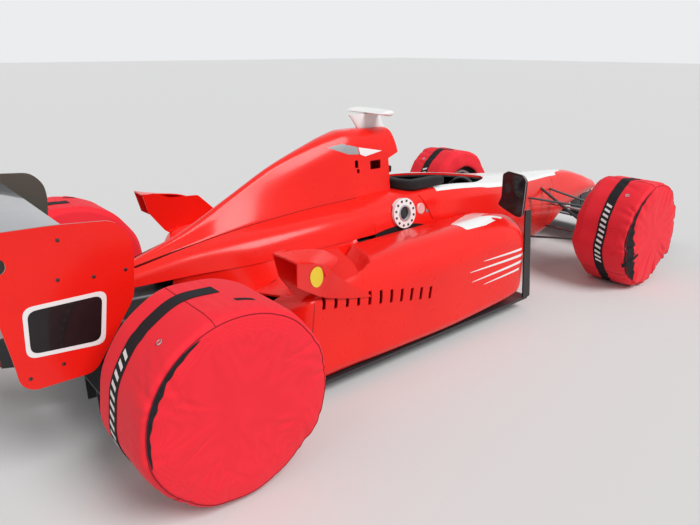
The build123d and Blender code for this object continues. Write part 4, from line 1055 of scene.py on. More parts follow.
@dataclass
class Sidepod:
    """One sidepod: its inlet, the scoop where its top sinks, and the tapering tail.

    The skin is a run of closed sections along X. Behind a line that slants across its top, the
    surface sinks towards the scoop's floor by a quarter of a sine wave.

    Attributes:
        side: which side it is on.
        stations: x, inner, outer, z of bottom, sill and edge, the ridge's inset, z of ridge and root.
        wall: thickness of its skin.
        floor: x and z of the scoop's floor.
        scoop: x where the sinking starts at the root, its slant outwards, and its run.
        exit_box: x, y and z of the box that opens the tail's top to let hot air out.
        louvres: how many slots the flank has.
        louvre_start: x and z of the first slot.
        louvre_pitch: distance between slots along X.
        louvre_fall: how far the row falls a metre.
        louvre_size: width and height of a slot.
        louvre_lean: how far a slot's top leads its foot.
        louvre_reach: half widths between which a slot is cut.
        radii: radius of each corner of a section.
        spans: x from and to, and number, of the pod's sections.
        core: x of the radiator's two faces.
        core_size: the radiator's size over the duct's.
        skin: the pod's finished piece.
    """

    side: Side
    stations: StationTable = StationTable((
        (0.303, 0.2985, 0.636, 0.122, 0.160, 0.440, 0.105, 0.528, 0.508),
        (0.270, 0.2985, 0.650, 0.110, 0.145, 0.470, 0.105, 0.556, 0.518),
        (0.190, 0.2985, 0.657, 0.100, 0.136, 0.488, 0.105, 0.574, 0.522),
        (0.100, 0.2985, 0.660, 0.095, 0.131, 0.492, 0.105, 0.582, 0.524),
        (-0.350, 0.2985, 0.664, 0.078, 0.116, 0.470, 0.105, 0.572, 0.522),
        (-0.600, 0.2985, 0.660, 0.078, 0.116, 0.440, 0.090, 0.560, 0.518),
        (-0.790, 0.2985, 0.655, 0.078, 0.116, 0.424, 0.065, 0.545, 0.512),
        (-0.900, 0.2880, 0.649, 0.078, 0.116, 0.428, 0.042, 0.524, 0.490),
        (-1.000, 0.2780, 0.648, 0.078, 0.116, 0.444, 0.040, 0.502, 0.460),
        (-1.130, 0.2630, 0.648, 0.078, 0.116, 0.466, 0.060, 0.488, 0.410),
        (-1.250, 0.2250, 0.560, 0.086, 0.120, 0.390, 0.090, 0.430, 0.380),
        (-1.345, 0.1720, 0.330, 0.100, 0.122, 0.260, 0.060, 0.304, 0.330),
    ))
    wall: float = 0.008
    floor: StationTable = StationTable(((-1.250, 0.470), (-1.060, 0.444), (-0.880, 0.438), (-0.600, 0.450)))
    scoop: tuple[float, float, float] = (-0.640, -0.148, 0.085)
    exit_box: Chain = ((-1.300, -1.190), (0.300, 0.500), (0.330, 0.560))
    louvres: int = 11
    louvre_start: tuple[float, float] = (-1.098, 0.445)
    louvre_pitch: float = 0.0615
    louvre_fall: float = 0.185
    louvre_size: tuple[float, float] = (0.017, 0.060)
    louvre_lean: float = 0.008
    louvre_reach: tuple[float, float] = (0.62, 0.70)
    radii: tuple[float, ...] = (0.02, 0.03, 0.075, 0.085, 0.02, 0.02)
    spans: Chain = ((-1.345, -1.0, 26), (-1.0, -0.62, 74), (-0.62, 0.303, 60))
    core_size: float = 0.93
    core: tuple[float, float] = (-0.120, -0.064)
    skin: bpy.types.Object | None = None

    def _rings(self, x: np.ndarray) -> np.ndarray:
        """Return closed sections that start and end at the middle of the bottom."""
        inner, outer, bottom, sill, edge, inset, ridge, root = self.stations.at(x).T
        middle = (inner + outer) / 2
        half = [(middle, bottom), (outer - (sill - bottom), bottom), (outer, sill), (outer, edge),
                (outer - inset, ridge), (inner, root), (inner, bottom), (middle, bottom)]
        corners = np.stack([np.stack((y, z), -1) for y, z in half], 1)
        ring = rounded_path(corners, self.radii, arc=9, run=9)[:, :-1]
        y, z = ring[..., 0], ring[..., 1]
        start, slant, run = self.scoop
        line = start + slant * np.clip((y - inner[:, None]) / 0.30, 0, 1.2)
        sunk = np.sin(np.clip((line - x[:, None]) / run, 0, 1) * math.pi / 2)
        across = np.clip(((outer - inset)[:, None] - y) / 0.034, 0, 1)
        on_top = np.clip((z - 0.36) / 0.05, 0, 1)
        drop = np.maximum(z - self.floor.at(x), 0) * sunk * across**2 * (3 - 2 * across) * on_top
        ring = np.stack([self.side.value * y, z - drop], -1)
        return ring if self.side is Side.RIGHT else ring[:, ::-1]

    def build(self) -> None:
        """Make the skin, then cut its louvres and the way out for hot air."""
        x = runs_of(self.spans)
        wall = thick(along_x(x, self._rings(x)), self.wall, wrap_columns=True)
        word = self.side.word
        self.skin = make_piece(
            f"pod_skin_{word}", [wall], [RED, DUCT_BLACK_AND_GAP_SHADE], [f"sidepod_{word}"], crease=34)
        cut_away(self.skin, [self._louvre(i) for i in range(self.louvres)] + [self._exit()])

    def _louvre(self, index: int) -> Patch:
        """Return a leaning slot as a closed box through the flank."""
        (width, height), lean = self.louvre_size, self.louvre_lean
        along = index * self.louvre_pitch
        x, z = self.louvre_start[0] + along, self.louvre_start[1] - self.louvre_fall * along
        low, high = z - height / 2, z + height / 2
        corners = np.array([(x, low), (x + width, low), (x + width + lean, high), (x + lean, high)])
        return capped(np.stack([upright(corners, self.side.value * y) for y in self.louvre_reach]))

    def _exit(self) -> Patch:
        """Return the box that opens the tail's top."""
        (x0, x1), (y0, y1), heights = self.exit_box
        ring = filled_corners([(x0, y0), (x1, y0), (x1, y1), (x0, y1 - 0.03)], 0.02, arc=5)
        return capped(np.stack([grid_of(ring[:, 0], self.side.value * ring[:, 1], z) for z in heights]))

    def radiator(self) -> Patch:
        """Return the core that fills the duct: two sections drawn in from the skin."""
        x = np.array(self.core)
        ring = self._rings(x)
        middle = ring.mean(1, keepdims=True)
        return capped(along_x(x, middle + (ring - middle) * self.core_size))


@dataclass
class FlipUps:
    """The winglet on each pod's tail: a fence that flares outwards, a ramp and an inner fence.

    A fence is a blend from its lower line to its upper line, each a smooth chain of points.

    Attributes:
        lower: share of the length, then x, y and z along the outer fence's lower line.
        upper: the same along its upper line.
        rear: share, then x, y and z along the ramp's rear edge, from the inner side outwards.
        front: the same along its front edge.
        inner: corners of the inner fence in X and Z.
        inner_y: distance of the inner fence from the car's middle.
        disc: shares along and up the outer fence of the yellow disc's centre.
        disc_size: the disc's radius over the fence's length and height there.
        thickness: the fences' and the ramp's.
    """

    lower: StationTable = StationTable((
        (0.00, -1.266, 0.716, 0.580), (0.20, -1.185, 0.684, 0.528), (0.40, -1.100, 0.658, 0.478),
        (0.66, -0.970, 0.652, 0.436), (1.00, -0.838, 0.650, 0.406),
    ))
    upper: StationTable = StationTable((
        (0.00, -1.283, 0.744, 0.684), (0.36, -1.121, 0.700, 0.628), (0.50, -1.062, 0.680, 0.574),
        (0.60, -1.010, 0.664, 0.535), (0.80, -0.925, 0.653, 0.474), (1.00, -0.838, 0.650, 0.412),
    ))
    rear: StationTable = StationTable((
        (0.0, -1.296, 0.612, 0.689), (0.5, -1.290, 0.678, 0.688), (1.0, -1.283, 0.743, 0.684)))
    front: StationTable = StationTable((
        (0.0, -0.985, 0.612, 0.644), (0.5, -1.052, 0.656, 0.637), (1.0, -1.119, 0.699, 0.627)))
    inner: Chain = (
        (-1.294, 0.690), (-1.228, 0.690), (-1.145, 0.655), (-0.985, 0.645), (-0.900, 0.560), (-0.850, 0.470),
        (-1.130, 0.440), (-1.190, 0.480), (-1.270, 0.590))
    inner_y: float = 0.610
    disc: tuple[float, float] = (0.262, 0.58)
    disc_size: tuple[float, float] = (0.040 / 0.44, 0.040 / 0.118)
    thickness: float = 0.006

    def _fence(self, side: Side, u: np.ndarray, v: np.ndarray) -> np.ndarray:
        """Return points of the outer fence at shares u along it and v up it."""
        low, high = self.lower.at(u), self.upper.at(u)
        return (low + (high - low) * v[..., None]) * np.array((1, side.value, 1))

    def build(self) -> None:
        """Make both winglets as one piece and put the discs on them."""
        patches, share = [], np.linspace(0, 1, 24)[:, None]
        back, ahead = (table.at(np.linspace(0, 1, 16)) for table in (self.rear, self.front))
        ramp = back + (ahead - back) * share[..., None]
        ramp[..., 2] += 0.006 * np.sin(share * math.pi) - 0.045 * share**6
        u, v = np.meshgrid(np.linspace(0, 1, 40), np.linspace(0, 1, 14), indexing="ij")
        turn, out = np.linspace(0, 2 * math.pi, 41)[:-1], np.linspace(0, 1, 6)[:, None]
        u_disc, v_disc = (at + out * wave * size for at, wave, size in zip(
            self.disc, (np.cos(turn), np.sin(turn)), self.disc_size))
        for side in Side:
            mirror = np.array((1, side.value, 1))
            for sheet in (self._fence(side, u, v), ramp * mirror):
                normal = grid_normals(sheet) * self.thickness / 2
                patches.append(capped(np.concatenate([sheet + normal, (sheet - normal)[:, ::-1]], axis=1)))
            plate = upright(filled_corners(self.inner, 0.012), side.value * self.inner_y)
            patches.append(slab(plate, (0, side.value, 0), self.thickness))
        make_piece("winglets", patches, [RED], ["flip_ups"], crease=32)
        for side in Side:
            sheet = self._fence(side, u_disc, v_disc) + np.array((0, side.value * 0.0050, 0))
            disc = Patch(sheet, wrap_columns=True)
            make_piece(f"fence_disc_{side.word}", [disc], [YELLOW_INK])


@dataclass
class FlankPaint:
    """Stripes, discs, joints and a painted shadow that lie on the car's sides, drawn in X and Z.

    Attributes:
        slashes: x and z of each tapering white stripe's tail and head, and its height there.
        silver_flash: corners of the flash's silver half on the airbox.
        white_flash: corners of its white half.
        joint_line: x and z of the joint across the pod's flank, from top to bottom.
        joint_width: its width.
        wedge: corners of the white wedge on the pod's top, in X and Y.
        gap: corners of the painted shadow in the gap between cell and pod.
        ridge: x from and to, then z, of the cell's ridge at its top and at its foot.
        out: distance from the middle at which a sheet starts before it is pressed on.
        lift: how far the paint stands off the surface.
    """

    slashes: Chain = (
        (-0.086, 0.397, 0.262, 0.388, 0.013),
        (-0.191, 0.361, 0.284, 0.353, 0.015),
        (-0.168, 0.305, 0.280, 0.316, 0.015),
        (-0.070, 0.268, 0.250, 0.277, 0.012),
    )
    silver_flash: Chain = (
        (-0.606, 0.946), (-0.520, 0.958), (-0.438, 0.936), (-0.430, 0.900), (-0.496, 0.905))
    white_flash: Chain = ((-0.432, 0.934), (-0.278, 0.904), (-0.392, 0.886), (-0.424, 0.898))
    joint_line: Chain = ((-1.134, 0.462), (-1.166, 0.120))
    joint_width: float = 0.0022
    wedge: Chain = (
        (-0.155, 0.494), (0.150, 0.350), (0.225, 0.345), (0.180, 0.568), (0.010, 0.588), (-0.133, 0.582))
    gap: Chain = (
        (-0.4695, 0.508), (-0.128, 0.508), (-0.128, 0.519), (-0.200, 0.534), (-0.300, 0.544),
        (-0.400, 0.538), (-0.4695, 0.528))
    ridge: Chain = ((-0.128, -0.060, 0.668), (-0.052, 0.004, 0.535))
    out: float = 0.80
    lift: float = 0.0006

    def build(self, pods: dict[Side, Sidepod], hood: EngineCover, tub: Tub) -> None:
        """Lay every marking and the painted shadow on its surface, on both sides."""
        for side in Side:
            word, pod = side.word, pods[side].skin
            for i, (x0, z0, x1, z1, height) in enumerate(self.slashes):
                u, v = shares_by(24, 3, -0.5, 0.5)
                wide = height * np.sqrt(np.clip(u * 1.05, 0, 1))
                sheet = self._sheet(side, x0 + (x1 - x0) * u, z0 + (z1 - z0) * u + wide * v)
                stripe = make_piece(f"flank_stripe_{word}_{i}", [sheet], [WHITE])
                lay_on(stripe, pod, "y", self.lift)
            for name, outline, finish in (
                ("silver", self.silver_flash, SILVER_INK_AND_HIGHLIGHT), ("white", self.white_flash, WHITE),
            ):
                fan = self._fan(outline, side.value * self.out * 0.4, 4)
                flash = make_piece(f"{name}_flash_{word}", [fan], [finish])
                lay_on(flash, hood.skin, "y", self.lift)
            flat = shrunk(filled_corners(self.wedge, 0.012, arc=4), np.linspace(1, 0, 12))
            flat = Patch(grid_of(flat[..., 0], side.value * flat[..., 1], 0.66), wrap_columns=True)
            lay_on(make_piece(f"pod_wedge_{word}", [flat], [WHITE]), pod, "z", 0.0007)
            # A near-black sheet on the cell's flank under the hem: painted shadow in the gap between cell and
            # pod.
            fan = self._fan(self.gap, side.value * self.out, 3)
            lay_on(make_piece(f"pod_gap_{word}", [fan], [DUCT_BLACK_AND_GAP_SHADE]), tub.skin, "y", 0.0010)
            (a0, a1, z_top), (b0, b1, z_low) = self.ridge
            u, v = shares_by(26, 7, 0, 1)
            x = (a0 + (a1 - a0) * v) * (1 - u) + (b0 + (b1 - b0) * v) * u
            sheet = self._sheet(side, x, z_top + (z_low - z_top) * u)
            ridge = make_piece(f"tub_ridge_{word}", [sheet], [RED])
            lay_on(ridge, tub.skin, "y", 0.0022, 0.004)
            (x0, z0), (x1, z1) = self.joint_line
            u, v = shares_by(30, 2, -0.5, 0.5)
            sheet = self._sheet(side, x0 + (x1 - x0) * u + self.joint_width * v, z0 + (z1 - z0) * u)
            lay_on(make_piece(f"pod_joint_{word}", [sheet], [BLACK_INK]), pod, "y", 0.0005)

    def _sheet(self, side: Side, x: np.ndarray, z: np.ndarray) -> Patch:
        """Return an open sheet that stands clear of one flank."""
        return Patch(grid_of(x, side.value * self.out, z))

    @staticmethod
    def _fan(outline: Chain, y: float, arc: int) -> Patch:
        """Return an open sheet of rings that shrink from a rounded outline to its middle."""
        ring = filled_corners(outline, 0.004, arc=arc)
        return Patch(upright(shrunk(ring, np.linspace(1, 0, 7)), y), wrap_columns=True)


# ---------------------------------------------------------------- warmers


@dataclass
class Warmer:
    """A padded hood drawn over one wheel, with its webbing band, seams and open slit.

    The hood is one grid: columns run round the axle by angle, measured from ahead over the
    top, and rows run along a closed profile from the mouth over the tread to the face and
    back along the lining.

    Attributes:
        end: which end of the car.
        side: which side.
        band_out: distance of the band's middle from the car's middle.
        slit: angles in degrees between which the slit is open.
        slit_width: half its widest opening.
        slit_lean: above 1 puts the widest place late along it.
        sag: how far the slack inner edge bulges towards the car.
        crumple: scale of the creases' depth.
        seams: angles of the seams across the tread.
        mouth: radius of the opening towards the car.
        padding: thickness of the padded cloth.
        columns: columns of the grid.
        pressure: air pressure inside the padding.
        limit: furthest that the pressure may move a point.
        ground: lowest height of the cloth.
        seam_in: how far the face's seam lies inside the outer face and the outer radius.
        slack_angle: where the slack inner edge bulges furthest, in degrees.
        band_half: half the band's width.
        band_span: angles in degrees between which the band runs.
        bars_span: angles between which white bars are woven into it.
        bar_pitch: angle between bars.
        creases: how many creases are sunk.
        lumps: order round the axle, height and phase of each wave in the cloth.
    """

    end: End
    side: Side
    band_out: float
    slit: tuple[float, float]
    slit_width: float = 0.010
    slit_lean: float = 1.0
    sag: float = 0.0
    crumple: float = 1.0
    seams: tuple[float, ...] = (104.0, 222.0, 340.0)
    mouth: float = 0.205
    padding: float = 0.022
    columns: int = 176
    pressure: float = 4.0
    limit: float = 0.010
    ground: float = 0.0012
    seam_in: tuple[float, float] = (0.014, 0.030)
    slack_angle: float = 172.0
    band_half: float = 0.029
    band_span: tuple[float, float] = (84.0, 262.0)
    bars_span: tuple[float, float] = (142.0, 206.0)
    bar_pitch: float = 5.6
    creases: int = 54
    lumps: Chain = ((3, 0.0026, 0.4), (5, 0.0028, 2.1), (8, 0.0022, 4.0), (13, 0.0014, 1.2))

    def __post_init__(self) -> None:
        """Read the hood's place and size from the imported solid, and lay out its grid."""
        low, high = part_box(f"warmer_{self.end.value}_{self.side.word}")
        self.radius = (high.x - low.x) / 2
        self.axle = ((high.x + low.x) / 2, (high.z + low.z) / 2)
        self.inner_y, self.outer_y = sorted((abs(low.y), abs(high.y)))
        self.name = f"{self.end.value}_{self.side.word}"
        self.body = f"{self.end.value}_wheel_{self.side.word}"
        self.distance, self.radii = self._profile().T
        self.angle = np.linspace(0, 2 * math.pi, self.columns, endpoint=False)
        hub, self.lining = np.flatnonzero(self.radii < 1e-9)[:2]
        self.outer_rows = hub + 1
        seam = (self.outer_y - self.inner_y - self.seam_in[0], self.radius - self.seam_in[1])
        self.seam_row = int(np.argmin(np.abs(self.distance - seam[0]) + np.abs(self.radii - seam[1])))
        steps = np.hypot(np.diff(self.distance), np.diff(self.radii))[:hub]
        self.walk = np.concatenate([[0], np.cumsum(steps)])
        self.skin = np.zeros((0, 0, 6))

    def _profile(self) -> np.ndarray:
        """Return the closed profile as distance out and radius, outer skin first, then lining."""
        r, deep, pad, mouth = self.radius - 0.006, self.outer_y - self.inner_y, self.padding, self.mouth
        outer = np.array([
            (0.004, mouth), (0.0, mouth + 0.014), (0.003, r - 0.085), (0.020, r - 0.022), (0.050, r),
            (deep - 0.075, r), (deep - 0.030, r - 0.006), (deep - 0.014, r - 0.024),
            (deep - 0.006, r - 0.075), (deep - 0.004, r * 0.5), (deep - 0.002, 0.0),
        ])
        inner = np.array([
            (deep - pad * 0.8, 0.0), (deep - pad * 0.8, r * 0.6), (deep - pad, r - 0.055),
            (deep - 0.055, r - pad), (0.055, r - pad), (pad, r - 0.060), (0.014, mouth + 0.02), (0.012, mouth),
        ])
        parts = []
        for chain, counts in ((outer, (2, 6, 7, 5, 22, 5, 3, 6, 9, 9)), (inner, (6, 5, 4, 12, 4, 4, 2))):
            for a, b, count in zip(chain, chain[1:], counts):
                parts.append(a + (b - a) * np.linspace(0, 1, count, endpoint=False)[:, None])
            parts.append(chain[-1:])
        return np.concatenate(parts)

    def _grid(self) -> np.ndarray:
        """Turn the profile about the axle: x from the cosine, z from the sine, y from the side."""
        radius = self.radii[:, None]
        x, z = self.axle[0] + radius * np.cos(self.angle), self.axle[1] + radius * np.sin(self.angle)
        return grid_of(x, self.side.value * (self.inner_y + self.distance)[:, None], z)

    def _pins(self) -> np.ndarray:
        """Return how firmly each point is held: fully along the seams, the band and the mouth."""
        out, radius = self.inner_y + self.distance, self.radii
        rows = np.zeros(len(radius))
        rows[self.seam_row - 1 : self.seam_row + 1] = 1.0
        beside_band = np.abs(np.abs(out - self.band_out) - self.band_half) < 0.008
        rows[(radius > self.radius - 0.02) & beside_band] = 1.0
        rows[radius < self.mouth + 0.02] = np.maximum(rows[radius < self.mouth + 0.02], 0.9)
        rows[radius < 0.004] = 1.0
        turned = np.degrees(self.angle)[:, None] - np.array(self.seams)
        across = np.abs((turned + 180) % 360 - 180).min(1) < 1.6
        on_tread = radius > self.radius - 0.04
        return np.maximum(rows[:, None], on_tread[:, None] & across)

    def _puff(self, grid: np.ndarray) -> np.ndarray:
        """Swell the hood with a cloth simulation, held along its seams.

        Args:
            grid: rows x columns x 3 points at rest.

        Returns:
            The grid after the simulation, with waves round the axle shorter than the cloth can
            hold smoothed away: each one fades by a bell curve of its order over the radius.
        """
        mesh = bpy.data.meshes.new("padding")
        patch = Patch(grid, wrap_rows=True, wrap_columns=True)
        mesh.from_pydata(grid.reshape(-1, 3).tolist(), [], patch.faces().tolist())
        cushion = linked("padding", mesh)
        hold = cushion.vertex_groups.new(name="seams")
        pins = self._pins().ravel()
        for level in (0.9, 1.0):
            hold.add(np.flatnonzero(np.isclose(pins, level)).tolist(), level, "REPLACE")
        settings = cushion.modifiers.new("cloth", "CLOTH").settings
        settings.quality, settings.mass = 5, 0.3
        settings.use_pressure, settings.uniform_pressure_force = True, self.pressure
        settings.vertex_group_mass = "seams"
        settings.tension_stiffness = settings.compression_stiffness = 12
        settings.shear_stiffness, settings.bending_stiffness = 6, 0.4
        settings.effector_weights.gravity = 0
        scene = bpy.context.scene
        for frame in range(1, 21):
            scene.frame_set(frame)
        bpy.context.view_layer.update()
        evaluated = cushion.evaluated_get(bpy.context.evaluated_depsgraph_get())
        flat = np.zeros(len(mesh.vertices) * 3, np.float32)
        evaluated.data.vertices.foreach_get("co", flat)
        scene.frame_set(1)
        bpy.data.objects.remove(cushion)
        move = flat.reshape(grid.shape).astype(float) - grid
        waves = np.fft.rfft(move, axis=1)
        order = np.arange(waves.shape[1])[None] * 0.013 / np.maximum(self.radii, 0.013)[:, None]
        move = np.fft.irfft(waves * np.exp(-(order**2))[..., None], n=self.columns, axis=1)
        size = np.linalg.norm(move, axis=2, keepdims=True) + TINY
        return grid + move * np.minimum(1.0, self.limit / size)

    def _creases(self, grid: np.ndarray) -> np.ndarray:
        """Sink creases into the cloth.

        Each crease is a line on the unrolled hood. A point sinks by the crease's depth times a
        bell curve of its distance from the line and of its place along it. Along the slit the
        cloth sinks in the same way, and the slack inner edge bulges by a bell curve of its angle.
        """
        rng = np.random.default_rng(SEED + 10 * (self.end is End.REAR) + (self.side is Side.LEFT))
        rows, full, walk = self.outer_rows, 2 * math.pi, self.walk[:, None]
        seam, radius = self.walk[self.seam_row], self.radii[:rows, None]
        local = np.maximum(radius, 0.05)
        sunk = np.zeros((rows, self.columns))
        for _ in range(self.creases):
            centre_s = seam + rng.normal(0.0, 0.085)
            centre_a = rng.uniform(0, full)
            tilt = rng.normal(0.0, 0.35)
            length, width = rng.uniform(0.03, 0.10), rng.uniform(0.006, 0.014)
            depth = rng.uniform(0.0012, 0.0040) * self.crumple
            across = ((self.angle - centre_a + math.pi) % full - math.pi) * local
            line = across * math.cos(tilt) + (walk - centre_s) * math.sin(tilt)
            run = (walk - centre_s) * math.cos(tilt) - across * math.sin(tilt)
            beside = bell((np.abs(line) - 2 * width) / width)
            sunk += depth * (bell(line / width) - 0.45 * beside) * bell(run / length)
        begin, stop = (math.radians(a) for a in self.slit)
        half = self._slit_half(np.clip((self.angle - begin) % full / (stop - begin), 0, 1))
        sunk += np.minimum(0.5 * half, 0.008) * bell((walk - seam - 0.6 * half) / (half + 0.006))
        lumps = self.crumple * sum(a * np.cos(k * self.angle + p) for k, a, p in self.lumps)
        reach = np.clip(radius / self.radius, 0, 1) ** 2
        moved = grid.copy()
        moved[:rows] += self._outward(grid)[:rows] * (lumps * reach - sunk)[..., None]
        slack = bell(self.distance / 0.035) * np.clip((self.radii - self.mouth) / 0.06, 0, 1)
        bulge = bell((self.angle - math.radians(self.slack_angle)) / 0.75)
        moved[..., 1] -= self.side.value * self.sag * slack[:, None] * bulge
        return moved

    def _slit_half(self, share: np.ndarray) -> np.ndarray:
        """Return half of the slit's opening at shares along it: a skewed arch with a ripple."""
        ripple = 1 + 0.25 * np.sin(31 * share) * np.sin(17 * share + 1)
        return self.slit_width * np.sin(math.pi * share**self.slit_lean) ** 0.7 * ripple

    def _outward(self, grid: np.ndarray) -> np.ndarray:
        """Return the grid's normals, turned so that they point away from the axle on the tread."""
        normal = grid_normals(grid, True)
        row = int(np.argmax(self.radii > self.radius - 0.008)) + 8
        away = grid[row] - np.array((self.axle[0], 0, self.axle[1]))
        away[:, 1] = 0
        return normal if (normal[row] * away).sum() > 0 else -normal

    def _on_skin(self, angle: np.ndarray | float, row: np.ndarray | float, lift: float) -> np.ndarray:
        """Return points over the finished hood at any angle in degrees and row number.

        The grid is read by blending the four points round each place, and the point then
        stands off along the blended normal.
        """
        angle, row = np.broadcast_arrays(angle, row)
        column = (angle / 360.0 % 1.0) * self.columns
        i, j = np.floor(row).astype(int), np.floor(column).astype(int)
        a, b = (row - i)[..., None], (column - j)[..., None]
        i2, j, j2 = np.minimum(i + 1, len(self.skin) - 1), j % self.columns, (j + 1) % self.columns
        near = self.skin[i, j] * (1 - a) + self.skin[i2, j] * a
        blended = near * (1 - b) + (self.skin[i, j2] * (1 - a) + self.skin[i2, j2] * a) * b
        return blended[..., :3] + blended[..., 3:] * lift

    def _row_at(self, out: float) -> float:
        """Return the row number on the tread at a distance from the car's middle."""
        rows = np.arange(len(self.radii))
        tread = rows[(self.radii > self.radius - 0.008) & (rows < self.seam_row)]
        return float(np.interp(out - self.inner_y, self.distance[tread], tread))

    def build(self) -> None:
        """Make the hood, then lay its band, slit, seams and eyelet on the finished cloth."""
        grid = self._grid()
        grid = self._puff(grid)
        grid = self._creases(grid)
        grid[..., 2] = np.maximum(grid[..., 2], self.ground)
        self.skin = np.concatenate([grid, self._outward(grid)], axis=2)
        cloth = Patch(grid, wrap_rows=True, wrap_columns=True, inner_from=int(self.lining))
        replaced = [f"warmer_{self.name}"]
        hood = make_piece(f"hood_{self.name}", [cloth], [QUILT, LINING], replaced, self.body, 70)
        soften = hood.modifiers.new("soften", "SUBSURF")
        soften.levels = soften.render_levels = 1
        self._band()
        self._slit()
        self._piping()
        if self.end is End.REAR:
            u, v = shares_by(9, 5, -1, 1)
            row, wide = self._row_at(0.867), self._row_at(0.880) - self._row_at(0.867)
            pocket = self._on_skin(82.5 - 10.5 * u, row + wide * (0.75 * v + 1.1 * u), 0.0014)
            self._fit("pocket", [Patch(pocket)], WEBBING_AND_SLIT_SHADE)
        self._eyelet()

    def _fit(self, name: str, patches: list[Patch], finish: Finish) -> None:
        """Make a piece that turns with this wheel."""
        make_piece(f"{name}_{self.name}", patches, [finish], body=self.body)

    def _band(self) -> None:
        """Lay the webbing band, and the white bars woven into it."""
        row = self._row_at(self.band_out)
        step = self._row_at(self.band_out + self.band_half) - row
        angle = np.linspace(*self.band_span, 150)[:, None]
        rows = row + np.linspace(-1, 1, 9) * step
        top, under = (self._on_skin(angle, rows, lift) for lift in (0.0026, 0.0006))
        ring = np.concatenate([top, under[:, ::-1]], axis=1)
        self._fit("band", [capped(ring)], WEBBING_AND_SLIT_SHADE)
        u, v = shares_by(5, 5, -0.62, 0.62)
        bars = [
            Patch(self._on_skin(start + 2.6 * u + 1.9 * v, row + step * v, 0.0032))
            for start in np.arange(*self.bars_span, self.bar_pitch)
        ]
        self._fit("band_bars", bars, WHITE_CLOTH)

    def _slit(self) -> None:
        """Lay a black sheet in the slit at the edge of the face as painted shade inside the opening, and a
        dark strip as painted shade of a fold across the seam if it is slack.
        """
        start, stop = self.slit
        u, v = shares_by(70, 5, -1, 1)
        seam, number = self.walk[self.seam_row], np.arange(len(self.walk))
        wide = self._slit_half(u)
        rows = np.interp(seam + 0.6 * wide + wide * v, self.walk, number)
        # The black sheet over the sunk cloth is painted shade inside the open slit.
        openings = [Patch(self._on_skin(start + (stop - start) * u, rows, 0.0016))]
        if self.sag:
            # A dark strip across the seam: painted shade of the fold.
            rows = np.interp(np.linspace(seam - 0.030, seam + 0.105, 24), self.walk, number)
            openings.append(Patch(self._on_skin(205 + 2.6 * v, rows[:, None], 0.0045)))
        self._fit("slit", openings, WEBBING_AND_SLIT_SHADE)

    def _piping(self) -> None:
        """Run piping along the face's seam and the seams across the tread."""
        rim = self._on_skin(np.linspace(0, 360, 220, endpoint=False), self.seam_row - 0.55, 0.0008)
        pipes = [tube(np.concatenate([rim, rim[:1]]), 0.0019, up=(0, 1, 0), sides=6)]
        rows = np.linspace(self._row_at(self.inner_y + 0.055), self.seam_row - 0.6, 40)
        for place in self.seams:
            pipes.append(tube(self._on_skin(place, rows, 0.0004), 0.0013, up=(1, 0, 0.3), sides=6))
        self._fit("piping", pipes, PIPING)

    def _eyelet(self) -> None:
        """Set a steel eyelet into the cloth on the tread."""
        at = self._on_skin(128.0, self._row_at(self.outer_y - 0.108), 0.0)
        out = at - np.array((self.axle[0], at[1], self.axle[1]))
        profile = ((-0.002, 0.006), (0.002, 0.006), (0.003, 0.008), (0.002, 0.011), (-0.002, 0.011))
        ring = lathe((*profile, profile[0]), at, out, 20)
        self._fit("eyelet", [ring], STEEL)


# ---------------------------------------------------------------- fittings


